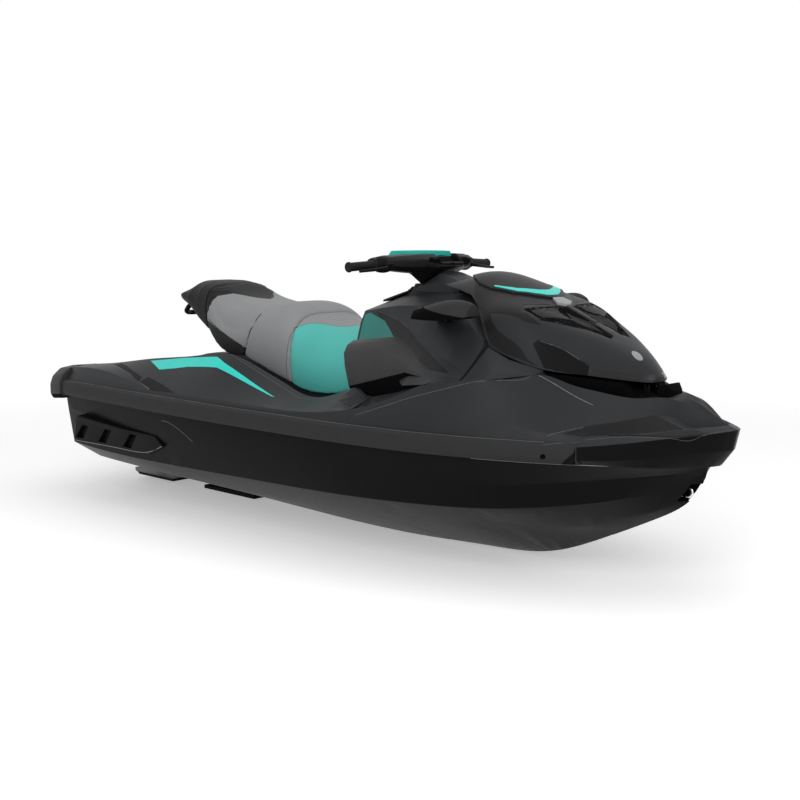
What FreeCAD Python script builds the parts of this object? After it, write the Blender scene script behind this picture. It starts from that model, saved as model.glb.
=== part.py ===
# Three-seat jet-driven personal watercraft, built at full size in millimetres.
# X runs to the bow, Y to port and Z up. Shapes are drawn over the keel line and
# every part is placed one draft lower, so the row frame starts at the waterline.
import FreeCAD
import Part
import Sketcher
import math
import os

V = FreeCAD.Vector
doc = FreeCAD.newDocument("watercraft")

# Dimensions
sheet = doc.addObject("Spreadsheet::Sheet", "Sizes")
DIMENSIONS = [
    ("HullLength", 3318.0, "bow bumper to stern corners"),
    ("HullBeam", 1255.0, "outside the rub rails"),
    ("BarHeight", 1138.0, "keel to the top of the bar pad"),
    ("Draft", 260.0, "keel to waterline"),
    ("RailFoot", 475.0, "underside of the rub rail over the keel"),
    ("RailDepth", 62.0, "height of the rub rail band"),
    ("RailStand", 20.0, "how far the rail stands off the hull"),
    ("FootwellFloor", 365.0, "footwell floor over the keel"),
    ("FootwellInner", 228.0, "half breadth of the seat pedestal"),
    ("FootwellOuter", 425.0, "half breadth of the footwell's outer wall"),
    ("FootwellAft", -640.0, "aft end of the footwells"),
    ("FootwellFore", 430.0, "fore end of the footwells"),
    ("PanelGap", 6.0, "shut line between a lid and its opening"),
    ("PumpBore", 156.0, "bore of the jet pump"),
    ("PumpWall", 9.0, "wall of the pump housing"),
    ("PumpHeight", 170.0, "pump axis over the keel"),
    ("PumpFore", -1185.0, "fore end of the pump housing"),
    ("PumpAft", -1452.0, "aft end of the pump housing"),
    ("TunnelHalf", 150.0, "half width of the pump tunnel"),
    ("TunnelTop", 318.0, "roof of the pump tunnel"),
    ("ImpellerGap", 1.0, "blade tip to pump bore"),
    ("ShaftRadius", 16.0, "drive shaft"),
    ("RunningGap", 0.05, "radial running fit of the shaft and pins"),
    ("NozzlePivot", -1482.0, "steering nozzle's upright pivot"),
    ("NozzleRadius", 58.0, "nozzle outside at its fore rim"),
    ("PinRadius", 8.0, "pivot pins of the nozzle and bucket"),
    ("BucketRadius", 124.0, "inside of the reverse bucket"),
    ("BarHalf", 402.0, "half span over the grips"),
    ("GripRadius", 16.5, "rubber grip"),
    ("TubeRadius", 11.0, "handlebar tube"),
    ("ColumnLean", 30.0, "steering axis from upright, degrees"),
    ("SteerX", 362.0, "steering axis at the console top"),
    ("SteerZ", 1010.0, "height of that point"),
    ("LidHingeX", 1335.0, "hinge line of the front lid"),
    ("LidHingeZ", 695.0, "height of the lid hinge"),
    ("CargoBoreRadius", 12.0, "bores of the two cargo fixings"),
    ("CargoBoreSpacing", 300.0, "cargo fixings apart"),
    ("BowEyeRod", 5.0, "rod radius of the bow eye"),
    ("RidePlateThick", 12.0, "ride plate under the pump tunnel"),
    ("MatThick", 8.0, "foam mats in the footwells"),
    ("MatRib", 22.0, "pitch of the grooves in those mats"),
    ("GrateBar", 8.0, "bars of the intake grate"),
    ("BinWall", 6.0, "wall of the storage bin"),
    ("ImpellerHub", 40.0, "impeller hub radius at its fore end"),
    ("BladeThick", 5.0, "impeller blade"),
]
for row_number, (name, value, _) in enumerate(DIMENSIONS, 1):
    sheet.set("A%d" % row_number, name)
    sheet.set("B%d" % row_number, "=%.3f" % value)
    sheet.setAlias("B%d" % row_number, name)
RATIOS = [
    ("LengthRatio", "=HullLength / 3318"), ("BeamRatio", "=HullBeam / 1255"),
    ("HeightRatio", "=BarHeight / 1138"), ("SternShift", "=-1445 * (LengthRatio - 1)"),
]
for row_number, (name, formula) in enumerate(RATIOS, len(DIMENSIONS) + 1):
    sheet.set("A%d" % row_number, name)
    sheet.setAlias("B%d" % row_number, name)
    sheet.set("B%d" % row_number, formula)
doc.recompute()


def dim(name):
    """One value read back from the sheet."""
    return float(sheet.get(name))


DRAFT = dim("Draft")
KX = dim("HullLength") / 3318.0
KY = dim("HullBeam") / 1255.0
KZ = dim("BarHeight") / 1138.0
FOOT = dim("RailFoot")
RAIL_TOP = FOOT + dim("RailDepth")
STAND = dim("RailStand")
STERN_SHIFT = dim("SternShift")


# Helpers
def vec(point):
    """A drawn point scaled to the driving length, beam and height."""
    return V(point[0] * KX, point[1] * KY, point[2] * KZ)


def curve(points):
    """A smooth edge through a few points."""
    pts = [vec(p) for p in points]
    if len(pts) == 2:
        return Part.makeLine(pts[0], pts[1])
    spline = Part.BSplineCurve()
    spline.interpolate(pts)
    return spline.toShape()


def mirrored(shape):
    """The same shape on the other side of the centreplane."""
    return shape.mirror(V(0, 0, 0), V(0, 1, 0))


def sewn(faces):
    """One closed solid from faces that share their borders."""
    shell = Part.makeShell(faces)
    shell.sewShape(0.01)
    if not shell.isClosed():
        raise RuntimeError("open shell")
    solid = Part.makeSolid(shell.Shells[0] if shell.ShapeType != "Shell" else shell)
    if solid.Volume < 0:
        solid.reverse()
    return solid


def lined_body(lines):
    """A body mirrored about the centreplane from long lines that start on one
    upright plane. The first and last line lie on the centreplane."""
    edges = [curve(p) for p in lines]
    faces = []
    for a, b in zip(edges, edges[1:]):
        faces.append(Part.makeRuledSurface(a, b))
    faces += [mirrored(f) for f in faces]
    starts = [vec(p[0]) for p in lines]
    other = [V(p.x, -p.y, p.z) for p in reversed(starts[1:-1])]
    faces.append(Part.Face(Part.makePolygon(starts + other + [starts[0]])))
    return sewn([f for shape in faces for f in shape.Faces])


def side_body(lines):
    """A port-side solid between lines that form a ring all along."""
    edges = [curve(p) for p in lines]
    faces = []
    for a, b in zip(edges, edges[1:] + edges[:1]):
        faces.append(Part.makeRuledSurface(a, b))
    for end in (0, -1):
        ring = [vec(p[end]) for p in lines]
        faces.append(Part.Face(Part.makePolygon(ring + ring[:1])))
    return sewn([f for shape in faces for f in shape.Faces])


def polygon_wire(points):
    """A closed wire of straight edges."""
    pts = [vec(p) for p in points]
    return Part.makePolygon(pts + pts[:1])


def prism(points, direction):
    """A flat outline pushed along a direction."""
    return Part.Face(polygon_wire(points)).extrude(V(*direction))


def facet_loft(sections, ruled=False):
    """A loft through closed polygons with the same number of corners."""
    return Part.makeLoft([polygon_wire(s) for s in sections], True, ruled)


def crown_wire(foot, crown):
    """A section of one straight foot edge and one spline over it."""
    pts = [vec(p) for p in crown]
    spline = Part.BSplineCurve()
    spline.interpolate(pts)
    base = [vec(p) for p in foot]
    return Part.Wire([spline.toShape()] + [Part.makeLine(a, b)
                     for a, b in zip([pts[-1]] + base, base + [pts[0]])])


def box(x0, x1, y0, y1, z0, z1):
    """An upright box between two corners."""
    return Part.makeBox((x1 - x0) * KX, (y1 - y0) * KY, (z1 - z0) * KZ,
                        V(x0 * KX, y0 * KY, z0 * KZ))


def rod(start, end, radius):
    """A round bar between two points."""
    a, b = vec(start), vec(end)
    return Part.makeCylinder(radius, (b - a).Length, a, b - a)


def pipe(points, radius):
    """A round bar swept along a smooth line."""
    pts = [vec(p) for p in points]
    spline = Part.BSplineCurve()
    spline.interpolate(pts)
    path = Part.Wire([spline.toShape()])
    tangent = spline.tangent(spline.FirstParameter)[0]
    ring = Part.Wire([Part.makeCircle(radius, pts[0], tangent)])
    return path.makePipeShell([ring], True, True)


def one_solid(shape):
    """The single solid inside a boolean result."""
    shape = shape.removeSplitter()
    solids = sorted(shape.Solids, key=lambda s: -s.Volume)
    return solids[0]


PARTS = {}


def add(label, shape):
    """Keep a free-form shape as a document object placed in the row frame."""
    feature = doc.addObject("Part::Feature", label)
    feature.Label = label
    feature.Shape = shape
    feature.Placement = FreeCAD.Placement(V(0, 0, -DRAFT), FreeCAD.Rotation()) * shape.Placement
    PARTS[label] = feature
    return feature


def tool_object(name, shape):
    """A shape of another part kept as the tool of a boolean, in drawing coordinates."""
    feature = doc.addObject("Part::Feature", name)
    feature.Shape = shape
    return feature


def value(text):
    """A number written as digits or as an expression over the sheet."""
    return float(sheet.evalExpression(text))


def plane_of(body, role):
    """One of a body's own origin planes or axes."""
    return [i for i in body.Origin.OriginFeatures if i.Role == role][0]


def outline(body, name, role, corners, lift="0"):
    """A closed sketch with one driven place for each corner, on an origin plane."""
    sketch = body.newObject("Sketcher::SketchObject", name)
    sketch.AttachmentSupport = (plane_of(body, role), [""])
    sketch.MapMode = "FlatFace"
    points = [V(value(x), value(y), 0) for x, y in corners]
    count = len(points)
    for k in range(count):
        sketch.addGeometry(Part.LineSegment(points[k], points[(k + 1) % count]), False)
    for k in range(count):
        sketch.addConstraint(Sketcher.Constraint("Coincident", k, 2, (k + 1) % count, 1))
    for k, (x, y) in enumerate(corners):
        for kind, text, got in (("DistanceX", x, points[k].x), ("DistanceY", y, points[k].y)):
            index = sketch.addConstraint(Sketcher.Constraint(kind, -1, 1, k, 1, got))
            if "Sizes" in text:
                sketch.setExpression("Constraints[%d]" % index, text)
    if lift != "0":
        sketch.setExpression("AttachmentOffset.Base.z", lift)
    return sketch


def rectangle(x0, x1, y0, y1):
    """Corners of an upright rectangle, written as texts."""
    return [(x0, y0), (x1, y0), (x1, y1), (x0, y1)]


def pad(body, name, sketch, length):
    """A pad whose length is an expression."""
    feature = body.newObject("PartDesign::Pad", name)
    feature.Profile = sketch
    feature.setExpression("Length", length)
    return feature


def pocket(body, name, sketch, depth=""):
    """A pocket of a given depth, or through everything both ways."""
    feature = body.newObject("PartDesign::Pocket", name)
    feature.Profile = sketch
    if depth:
        feature.setExpression("Length", depth)
    else:
        feature.Type = "ThroughAll"
        feature.Midplane = True
    return feature


def row_of(body, name, feature, axis_role, span, count):
    """A linear pattern of a feature along an origin axis."""
    pattern = body.newObject("PartDesign::LinearPattern", name)
    pattern.Originals = [feature]
    pattern.Direction = (plane_of(body, axis_role), [""])
    pattern.setExpression("Length", span)
    pattern.Occurrences = count
    body.Tip = pattern
    return pattern


def across(name, sketch_body, sections):
    """An additive loft through sketches."""
    feature = sketch_body.newObject("PartDesign::AdditiveLoft", name)
    feature.Profile = sections[0]
    feature.Sections = sections[1:]
    feature.Ruled = True
    return feature


def turned(body, name, sketch):
    """A revolution of a half profile about the body's X axis."""
    feature = body.newObject("PartDesign::Revolution", name)
    feature.Profile = sketch
    feature.ReferenceAxis = (plane_of(body, "X_Axis"), [""])
    feature.Angle = 360
    return feature


def block(name, x0, x1, y0, y1, z0, z1):
    """An upright box primitive between two corners, driven by the three ratios."""
    item = doc.addObject("Part::Box", name)
    for key, low, high, axis, ratio in (
            ("Length", x0, x1, "x", "LengthRatio"), ("Width", y0, y1, "y", "BeamRatio"),
            ("Height", z0, z1, "z", "HeightRatio")):
        item.setExpression(key, "%s * Sizes.%s" % (high - low, ratio))
        item.setExpression("Placement.Base." + axis, "%s * Sizes.%s" % (low, ratio))
    return item


def bar_of(name, radius, height, x, y, z, axis=(0, 0, 1)):
    """A cylinder primitive whose sizes and place are expressions."""
    item = doc.addObject("Part::Cylinder", name)
    item.Placement = FreeCAD.Placement(V(0, 0, 0), FreeCAD.Rotation(V(0, 0, 1), V(*axis)))
    item.setExpression("Radius", radius)
    item.setExpression("Height", height)
    for key, text in (("x", x), ("y", y), ("z", z)):
        item.setExpression("Placement.Base." + key, text)
    return item


def joined(name, items):
    """A fusion of several objects."""
    feature = doc.addObject("Part::MultiFuse", name)
    feature.Shapes = items
    feature.Refine = True
    return feature


def opposite(label, source):
    """The starboard mirror of a port feature."""
    feature = doc.addObject("Part::Mirroring", label)
    feature.Source = source
    feature.Normal = V(0, 1, 0)
    feature.Base = V(0, 0, 0)
    return keep(label, feature, placed=False)


def new_body(name):
    """An empty body."""
    return doc.addObject("PartDesign::Body", name)


def keep(label, feature, x="0", z="0", placed=True):
    """Register a feature as a part and put it in the row frame."""
    feature.Label = label
    if placed:
        feature.setExpression("Placement.Base.x", x)
        feature.setExpression("Placement.Base.z", "%s - Sizes.Draft" % z)
    PARTS[label] = feature
    return feature


def lowered(name, base, tools):
    """A cut of one object by several others, in drawing coordinates."""
    if len(tools) == 1:
        tool = tools[0]
    else:
        tool = doc.addObject("Part::MultiFuse", name + "_tools")
        tool.Shapes = tools
    feature = doc.addObject("Part::Cut", name)
    feature.Base, feature.Tool = base, tool
    return feature


def pair(label, shape):
    """Port and starboard copies of a port-side shape."""
    add(label + "_port", shape)
    add(label + "_stbd", mirrored(shape))


# Hull lines
STERN = -1636.0
TRANSOM = -1445.0
KEEL = [(TRANSOM, 0, 37), (-900, 0, 20), (-300, 0, 2), (280, 0, 2), (630, 0, 20), (920, 0, 49),
        (1180, 0, 151), (1380, 0, 249), (1480, 0, 312), (1530, 0, 372), (1552, 0, 440)]
STRAKE = [(TRANSOM, 366, 158), (-900, 385, 150), (0, 400, 163), (380, 385, 176),
          (700, 320, 186), (950, 225, 190), (1150, 140, 205), (1300, 80, 245),
          (1400, 50, 285), (1490, 25, 345), (1548, 0, 410)]
CHINE = [(TRANSOM, 505, 244), (-1000, 528, 236), (-480, 545, 246), (0, 552, 258),
         (400, 540, 266), (700, 490, 272), (950, 405, 280), (1150, 300, 300),
         (1300, 205, 325), (1420, 120, 360), (1500, 60, 395), (1552, 0, 425)]
CREASE = [(TRANSOM, 530, 400), (-1000, 560, 385), (-480, 585, 372), (0, 590, 366),
          (400, 572, 360), (700, 520, 356), (950, 440, 365), (1150, 348, 385),
          (1300, 262, 405), (1420, 175, 420), (1500, 100, 430), (1554, 0, 436)]
EDGE_PLAN = [(-1200, 565), (-800, 590), (-300, 607), (100, 607), (500, 592), (800, 548),
             (1050, 476), (1200, 415), (1330, 343), (1440, 262), (1520, 165)]
LIP = [(TRANSOM, 540, FOOT / KZ)] + [(x, y, FOOT / KZ) for x, y in EDGE_PLAN] + [
    (1558, 0, FOOT / KZ)]


def lid_line(points, z):
    """Centreline points under or over the given ones."""
    return [(p[0], 0, z) for p in points]


hull = lined_body([KEEL, STRAKE, CHINE, CREASE, LIP, lid_line(LIP, FOOT / KZ)])

# pump tunnel, intake duct, engine bay, bow eye recess
TH = dim("TunnelHalf")
PZ = dim("PumpHeight")
TUNNEL_FORE = dim("PumpFore") + 9 + STERN_SHIFT
tunnel = Part.makeBox(500, 2 * TH, dim("TunnelTop") + 100, V(TUNNEL_FORE - 500, -TH, -100))
hull = hull.cut(tunnel)
INTAKE_FORE, INTAKE_HALF = -640.0, 95.0
INTAKE_BACK, INTAKE_TOP = -900.0, 190.0
THROAT = 72.0


def duct_section(x, half, low, high):
    """One upright rectangle of the intake duct, at a place measured from the stern."""
    at = (x + STERN_SHIFT) / KX
    return [(at, -half / KY, low / KZ), (at, half / KY, low / KZ), (at, half / KY, high / KZ),
            (at, -half / KY, high / KZ)]


duct = facet_loft([
    duct_section(dim("PumpFore") + 15, THROAT, PZ - THROAT, PZ + THROAT),
    duct_section(INTAKE_BACK, INTAKE_HALF, -40, INTAKE_TOP),
    duct_section(INTAKE_FORE, INTAKE_HALF, -40, 20)], True)
hull = hull.cut(duct)
bay = box(-560, 330, -205, 205, 150, 500)
hull = hull.cut(bay)
SHAFT_ROOM = 4.0
hull = hull.cut(Part.makeCylinder(dim("ShaftRadius") + SHAFT_ROOM, 700,
                                  V(-1220 + STERN_SHIFT, 0, PZ), V(1, 0, 0)))
eye_recess = box(1440, 1600, -34, 34, 322, 388)
hull = one_solid(hull.cut(eye_recess))

# Deck lines
DECK_PLAN = [(STERN, 466), (-1500, 526)] + [(x, y - 4) for x, y in EDGE_PLAN[:-1]] + [
    (1520, 178), (1590, 92)]
DECK_EDGE = [(x, y, RAIL_TOP / KZ + max(0, x - 1250) * 0.07) for x, y in DECK_PLAN]
DECK_EDGE.append((1642, 0, RAIL_TOP / KZ + 25))
BREAK = [(STERN, 458, 555), (-1450, 514, 566), (-1200, 546, 572), (-950, 572, 562),
         (-730, 585, 549), (-300, 600, 548), (100, 599, 547), (300, 590, 551),
         (500, 576, 570), (800, 530, 610), (1050, 452, 600), (1220, 392, 565),
         (1330, 300, 592), (1412, 190, 614), (1465, 108, 617), (1525, 66, 592),
         (1585, 30, 568), (1643, 0, 563)]
SHOULDER = [(STERN, 448, 566), (-1450, 500, 591), (-1200, 526, 603), (-950, 555, 584),
            (-730, 578, 560), (-300, 594, 558), (100, 592, 556), (300, 585, 565),
            (450, 566, 592), (600, 540, 645), (750, 505, 692), (900, 462, 716),
            (1000, 412, 724), (1060, 360, 734), (1110, 316, 742), (1180, 258, 712),
            (1261, 203, 688), (1366, 140, 670), (1430, 78, 672), (1500, 52, 655),
            (1590, 22, 605), (1644, 0, 567)]
INNER = [(STERN, 400, 570), (-1380, 425, 606), (-1220, 432, 622), (-910, 435, 664),
         (-600, 435, 698), (-410, 435, 718), (-310, 436, 706), (-170, 438, 665),
         (-50, 440, 626), (60, 444, 590), (160, 446, 588), (310, 442, 634),
         (450, 430, 672), (600, 410, 700), (750, 380, 712), (900, 345, 716),
         (1050, 290, 716), (1110, 262, 712), (1180, 210, 694), (1261, 158, 670),
         (1366, 100, 655), (1430, 50, 668), (1500, 28, 668), (1590, 10, 612), (1645, 0, 569)]
CROWN = [(STERN, 0, 566), (-1200, 0, 606), (-910, 0, 650), (-600, 0, 672), (-300, 0, 676),
         (60, 0, 670), (310, 0, 690), (600, 0, 708), (900, 0, 710), (1110, 0, 700),
         (1261, 0, 668), (1366, 0, 658), (1430, 0, 676), (1480, 0, 682), (1550, 0, 640),
         (1600, 0, 608), (1646, 0, 571)]
SEAM = (FOOT + 0.3) / KZ
lip_line = [(x, y + 4, SEAM) for x, y in DECK_PLAN[:2]] + [
    (p[0], p[1], SEAM) for p in LIP[1:-1]] + [(1600, 0, SEAM)]
deck = lined_body([lid_line(lip_line, SEAM), lip_line, DECK_EDGE, BREAK, SHOULDER, INNER,
                   CROWN])

FI, FO = dim("FootwellInner"), dim("FootwellOuter")
FA, FF, FZ = dim("FootwellAft"), dim("FootwellFore"), dim("FootwellFloor")


def footwell(side):
    """The space a foot stands in, open at the top, one side at a time."""
    a, b = (FI, FO) if side > 0 else (-FO, -FI)
    profile = ((FA + 60, FZ), (FF - 40, FZ), (FF, FZ + 60), (FF, 800), (FA - 60, 800),
               (FA, FZ + 110))
    return facet_loft([[(x, y, z) for x, z in profile] for y in (a, b)], True)


for side in (1, -1):
    deck = deck.cut(footwell(side))
    hull = hull.cut(footwell(side))
platform_cut = facet_loft([
    [(-1700, y, z) for y, z in ((-350, 545), (350, 545), (375, 800), (-375, 800))],
    [(-760, y, z) for y, z in ((-350, 560), (350, 560), (375, 800), (-375, 800))]], True)
deck = deck.cut(platform_cut)
BIN_PLAN = ((885, 236), (1020, 236), (1180, 150))


def bin_block(grow, low, high):
    """The storage bin's plan shape grown by a margin, between two heights."""
    outline = [(BIN_PLAN[0][0] - grow, BIN_PLAN[0][1] + grow),
               (BIN_PLAN[1][0] + grow * 0.7, BIN_PLAN[1][1] + grow),
               (BIN_PLAN[2][0] + grow, BIN_PLAN[2][1] + grow)]
    outline += [(x, -y) for x, y in reversed(outline)]
    return prism([(x, y, low) for x, y in outline], (0, 0, (high - low) * KZ))


deck = deck.cut(bin_block(10, 470, 800))
hull = hull.cut(bin_block(10, 300, 600))
eng_space = box(-560, 330, -205, 205, 430, 640)
deck = deck.cut(eng_space).removeSplitter()
hull = one_solid(hull)
HULL_CUTS = (("hull_stern", -1700, FA), ("hull_middle", FA, FF), ("hull_fore", FF, 875),
             ("hull_bin", 875, 1195), ("hull_bow", 1195, 1700))
for label, aft, fore in HULL_CUTS:
    add(label, one_solid(hull.common(box(aft, fore, -700, 700, -20, 600))))
add("deck_stern", one_solid(deck.common(box(-1700, FA, -700, 700, 400, 900))))
add("deck_bow", one_solid(deck.common(box(FF, 1700, -700, 700, 400, 900))))
middle = deck.common(box(FA, FF, -700, 700, 400, 900)).Solids
for solid in sorted(middle, key=lambda part: part.CenterOfMass.y):
    if abs(solid.CenterOfMass.y) < 20:
        add("seat_pedestal", solid)
    elif solid.Volume > 1e5:
        add("gunwale_port" if solid.CenterOfMass.y > 0 else "gunwale_stbd", solid)

# Rub rail


def offset_line(table, stand, z):
    """Points of a line moved outboard at one height."""
    return [(p[0], p[1] + stand, z) for p in table[:-1]]


rail = side_body([
    offset_line(lip_line, 0.3, (FOOT - 4) / KZ),
    offset_line(lip_line, STAND * 0.7, (FOOT - 4) / KZ),
    offset_line(lip_line, STAND, (FOOT + 14) / KZ),
    offset_line(lip_line, STAND * 0.8, (RAIL_TOP - 10) / KZ),
    offset_line(lip_line, 4, (RAIL_TOP + 3) / KZ),
    offset_line(lip_line, -3.6, (RAIL_TOP + 3) / KZ)])
rail = one_solid(rail.common(box(-1560, 1301.5, 0, 700, 0, 900)).cut(deck).cut(hull))
pair("rub_rail", rail)

# Bow bumper
BOW_TOP_OUT = [(1302, 386, 530), (1365, 348, 538), (1465, 271, 552), (1527, 205, 562),
               (1592, 120, 570), (1640, 50, 577), (1658, 0, 580)]
BOW_LOW_OUT = [(1302, 382, 486), (1365, 342, 488), (1455, 266, 494), (1517, 198, 502),
               (1578, 116, 510), (1626, 46, 512), (1643, 0, 513)]
BOW_UNDER = [(1302, 352, 470), (1380, 300, 466), (1450, 240, 462), (1510, 165, 458),
             (1560, 85, 456), (1588, 36, 456), (1598, 0, 456)]
BOW_IN_TOP = [(1302, 345, 560), (1365, 305, 566), (1455, 228, 574), (1515, 160, 582),
              (1570, 85, 588), (1612, 32, 592), (1628, 0, 593)]
BOW_IN_LOW = [(1302, 300, 470), (1380, 240, 470), (1440, 180, 470), (1490, 110, 470),
              (1520, 55, 470), (1535, 20, 470), (1540, 0, 470)]


def ring_body(lines):
    """A mirrored solid between lines that form a ring and end at the centreplane."""
    edges = [curve(p) for p in lines]
    faces = []
    for a, b in zip(edges, edges[1:] + edges[:1]):
        faces.append(Part.makeRuledSurface(a, b))
    faces += [mirrored(f) for f in faces]
    ring = [vec(p[0]) for p in lines]
    faces.append(Part.Face(Part.makePolygon(ring + ring[:1])))
    faces.append(mirrored(faces[-1]))
    return sewn([f for shape in faces for f in shape.Faces])


bumper = ring_body([BOW_IN_LOW, BOW_UNDER, BOW_LOW_OUT, BOW_TOP_OUT, BOW_IN_TOP])
bumper = one_solid(bumper.cut(deck).cut(hull))
add("bow_bumper", bumper)

# Stern corner mouldings
corner = facet_loft([
    [(x, y, 415) for x, y in ((-1636, 300), (-1657, 300), (-1657, 440), (-1630, 500),
                              (-1560.3, 530), (-1560.3, 480), (-1636, 440))],
    [(x, y, 545) for x, y in ((-1636, 300), (-1659, 300), (-1659, 440), (-1632, 500),
                              (-1560.3, 528), (-1560.3, 480), (-1636, 440))],
    [(x, y, 566) for x, y in ((-1636, 300), (-1652, 300), (-1652, 430), (-1625, 488),
                              (-1560.3, 512), (-1560.3, 480), (-1636, 440))]], True)
corner = one_solid(corner.cut(deck).cut(hull))
pair("stern_corner", corner)

# Side sponsons
sponson = facet_loft([
    [(x, 470, z) for x, z in ((-1360, 258), (-760, 268), (-620, 322), (-690, 372),
                              (-960, 376), (-1330, 398))],
    [(x, 578, z) for x, z in ((-1330, 268), (-780, 276), (-660, 322), (-710, 360),
                              (-960, 366), (-1300, 386))]], True)
for k, slot_x in enumerate((-1270, -1090, -900)):
    slot = facet_loft([
        [(slot_x - 45, 556, 288), (slot_x + 15, 556, 288), (slot_x + 60, 556, 350),
         (slot_x + 10, 556, 350)],
        [(slot_x - 45, 600, 288), (slot_x + 15, 600, 288), (slot_x + 60, 600, 350),
         (slot_x + 10, 600, 350)]], True)
    sponson = sponson.cut(slot)
sponson = one_solid(sponson.cut(hull))
pair("sponson", sponson)

# Jet drive
BORE = dim("PumpBore") / 2
WALL = dim("PumpWall")
PF, PA = dim("PumpFore") + STERN_SHIFT, dim("PumpAft") + STERN_SHIFT
NP = dim("NozzlePivot") + STERN_SHIFT
RG = dim("RunningGap")
SR = dim("ShaftRadius")
profile = [(PF, BORE), (PF, BORE + WALL + 14), (PF + -14, BORE + WALL + 14),
           (PF - 14, BORE + WALL), (PF - 150, BORE + WALL), (PA, 58), (PA, 49),
           (PF - 150, BORE)]
housing = Part.Face(Part.makePolygon([V(x, 0, r) for x, r in profile + profile[:1]]))
housing = housing.revolve(V(0, 0, 0), V(1, 0, 0), 360)
hub = Part.makeCone(34, 22, 110, V(PF - 100, 0, 0), V(-1, 0, 0))
hub = hub.cut(Part.makeCylinder(SR + RG, 60, V(PF - 99, 0, 0), V(-1, 0, 0)))
for k in range(6):
    vane = Part.makeBox(90, 5, BORE + 2 - 24, V(PF - 195, -2.5, 24))
    vane.rotate(V(0, 0, 0), V(1, 0, 0), 60 * k + 30)
    hub = hub.fuse(vane)
hub = hub.common(Part.makeCylinder(BORE + 3, 400, V(PF, 0, 0), V(-1, 0, 0)))
housing = housing.fuse(hub)
bracket_half = 82.0
for side in (1, -1):
    ear = Part.makeBox(78, 8, 34, V(NP - 18, side * bracket_half - 4, -17))
    stay = Part.makeBox(36, 30, 34, V(NP + 36, 54 if side > 0 else -84, -17))
    pin = Part.makeCylinder(dim("PinRadius"), 25, V(NP, side * (bracket_half + 3), 0),
                            V(0, side, 0))
    housing = housing.fuse(ear).fuse(stay).fuse(pin)
for side in (1, -1):
    lug = Part.makeBox(56, 26, 8, V(NP - 13, -13, (66 if side > 0 else -74)))
    post = Part.makeBox(13, 26, 24, V(NP + 30, -13, (50 if side > 0 else -74)))
    bore = Part.makeCylinder(dim("PinRadius") + RG, 40, V(NP, 0, side * 70 - 20))
    housing = housing.fuse(post).fuse(lug).cut(bore)
housing.translate(V(0, 0, PZ))
mount_arm = Part.makeBox(60, 120, 80, V(PF - 70, -60, PZ + BORE + 4))
mount_arm = mount_arm.cut(Part.makeCylinder(BORE + 2, 100, V(PF - 90, 0, PZ), V(1, 0, 0)))
mount_arm = mount_arm.common(Part.makeBox(400, 400, 1000, V(PF - 200, -200, -318 + 0)))
top_trim = Part.makeBox(400, 400, 200, V(PF - 200, -200, dim("TunnelTop") - 0.3))
housing = one_solid(housing.fuse(mount_arm).cut(top_trim))
add("pump_housing", housing)

wheel = new_body("ImpellerWheel")
hub_back, hub_front = "Sizes.PumpFore - 94", "Sizes.PumpFore - 16"
turned(wheel, "HubAndShaft", outline(wheel, "HubProfile", "XZ_Plane", [
    ("Sizes.PumpFore - 150", "0"), ("Sizes.PumpFore - 150", "Sizes.ShaftRadius"),
    (hub_back, "Sizes.ShaftRadius"), (hub_back, "Sizes.ImpellerHub - 6"),
    (hub_front, "Sizes.ImpellerHub"), (hub_front, "Sizes.ShaftRadius"),
    ("Sizes.PumpFore + 330", "Sizes.ShaftRadius"), ("Sizes.PumpFore + 330", "0")]))


def blade_section(name, lift, chord, pitch):
    """A thin section of one blade, set at a pitch angle from the shaft."""
    run, rise = math.cos(math.radians(pitch)), math.sin(math.radians(pitch))
    half = "Sizes.BladeThick / 2"
    corners = []
    for end, edge in ((-1, -1), (1, -1), (1, 1), (-1, 1)):
        corners.append((
            "Sizes.PumpFore - 55 + (%.4f) - (%.4f) * %s" % (end * chord / 2 * run, edge * rise,
                                                           half),
            "(%.4f) + (%.4f) * %s" % (end * chord / 2 * rise, edge * run, half)))
    return outline(wheel, name, "XY_Plane", corners, lift)


blade = across("Blade", wheel, [
    blade_section("BladeRoot", "24", 56, 28),
    blade_section("BladeTip", "Sizes.PumpBore / 2 - Sizes.ImpellerGap - 3", 44, 48)])
wheel.Tip = blade
doc.recompute()
blades = wheel.newObject("PartDesign::PolarPattern", "Blades")
blades.Originals = [blade]
blades.Axis = (plane_of(wheel, "X_Axis"), [""])
blades.Angle = 360
blades.Occurrences = 4
wheel.Tip = blades
keep("impeller", wheel, x="Sizes.SternShift", z="Sizes.PumpHeight")

nozzle = new_body("NozzleBody")
turned(nozzle, "NozzleShell", outline(nozzle, "NozzleProfile", "XZ_Plane", [
    ("Sizes.NozzlePivot + 4", "46"), ("Sizes.NozzlePivot + 4", "Sizes.NozzleRadius"),
    ("Sizes.NozzlePivot - 92", "Sizes.NozzleRadius - 11"),
    ("Sizes.NozzlePivot - 92", "Sizes.NozzleRadius - 20")]))
upper_pin = bar_of("NozzlePinTop", "Sizes.PinRadius", "30", "Sizes.NozzlePivot", "0", "50")
lower_pin = bar_of("NozzlePinLow", "Sizes.PinRadius", "30", "Sizes.NozzlePivot", "0", "-80")
keep("steering_nozzle", joined("NozzleAndPins", [nozzle, upper_pin, lower_pin]),
     x="Sizes.SternShift", z="Sizes.PumpHeight")

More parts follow.
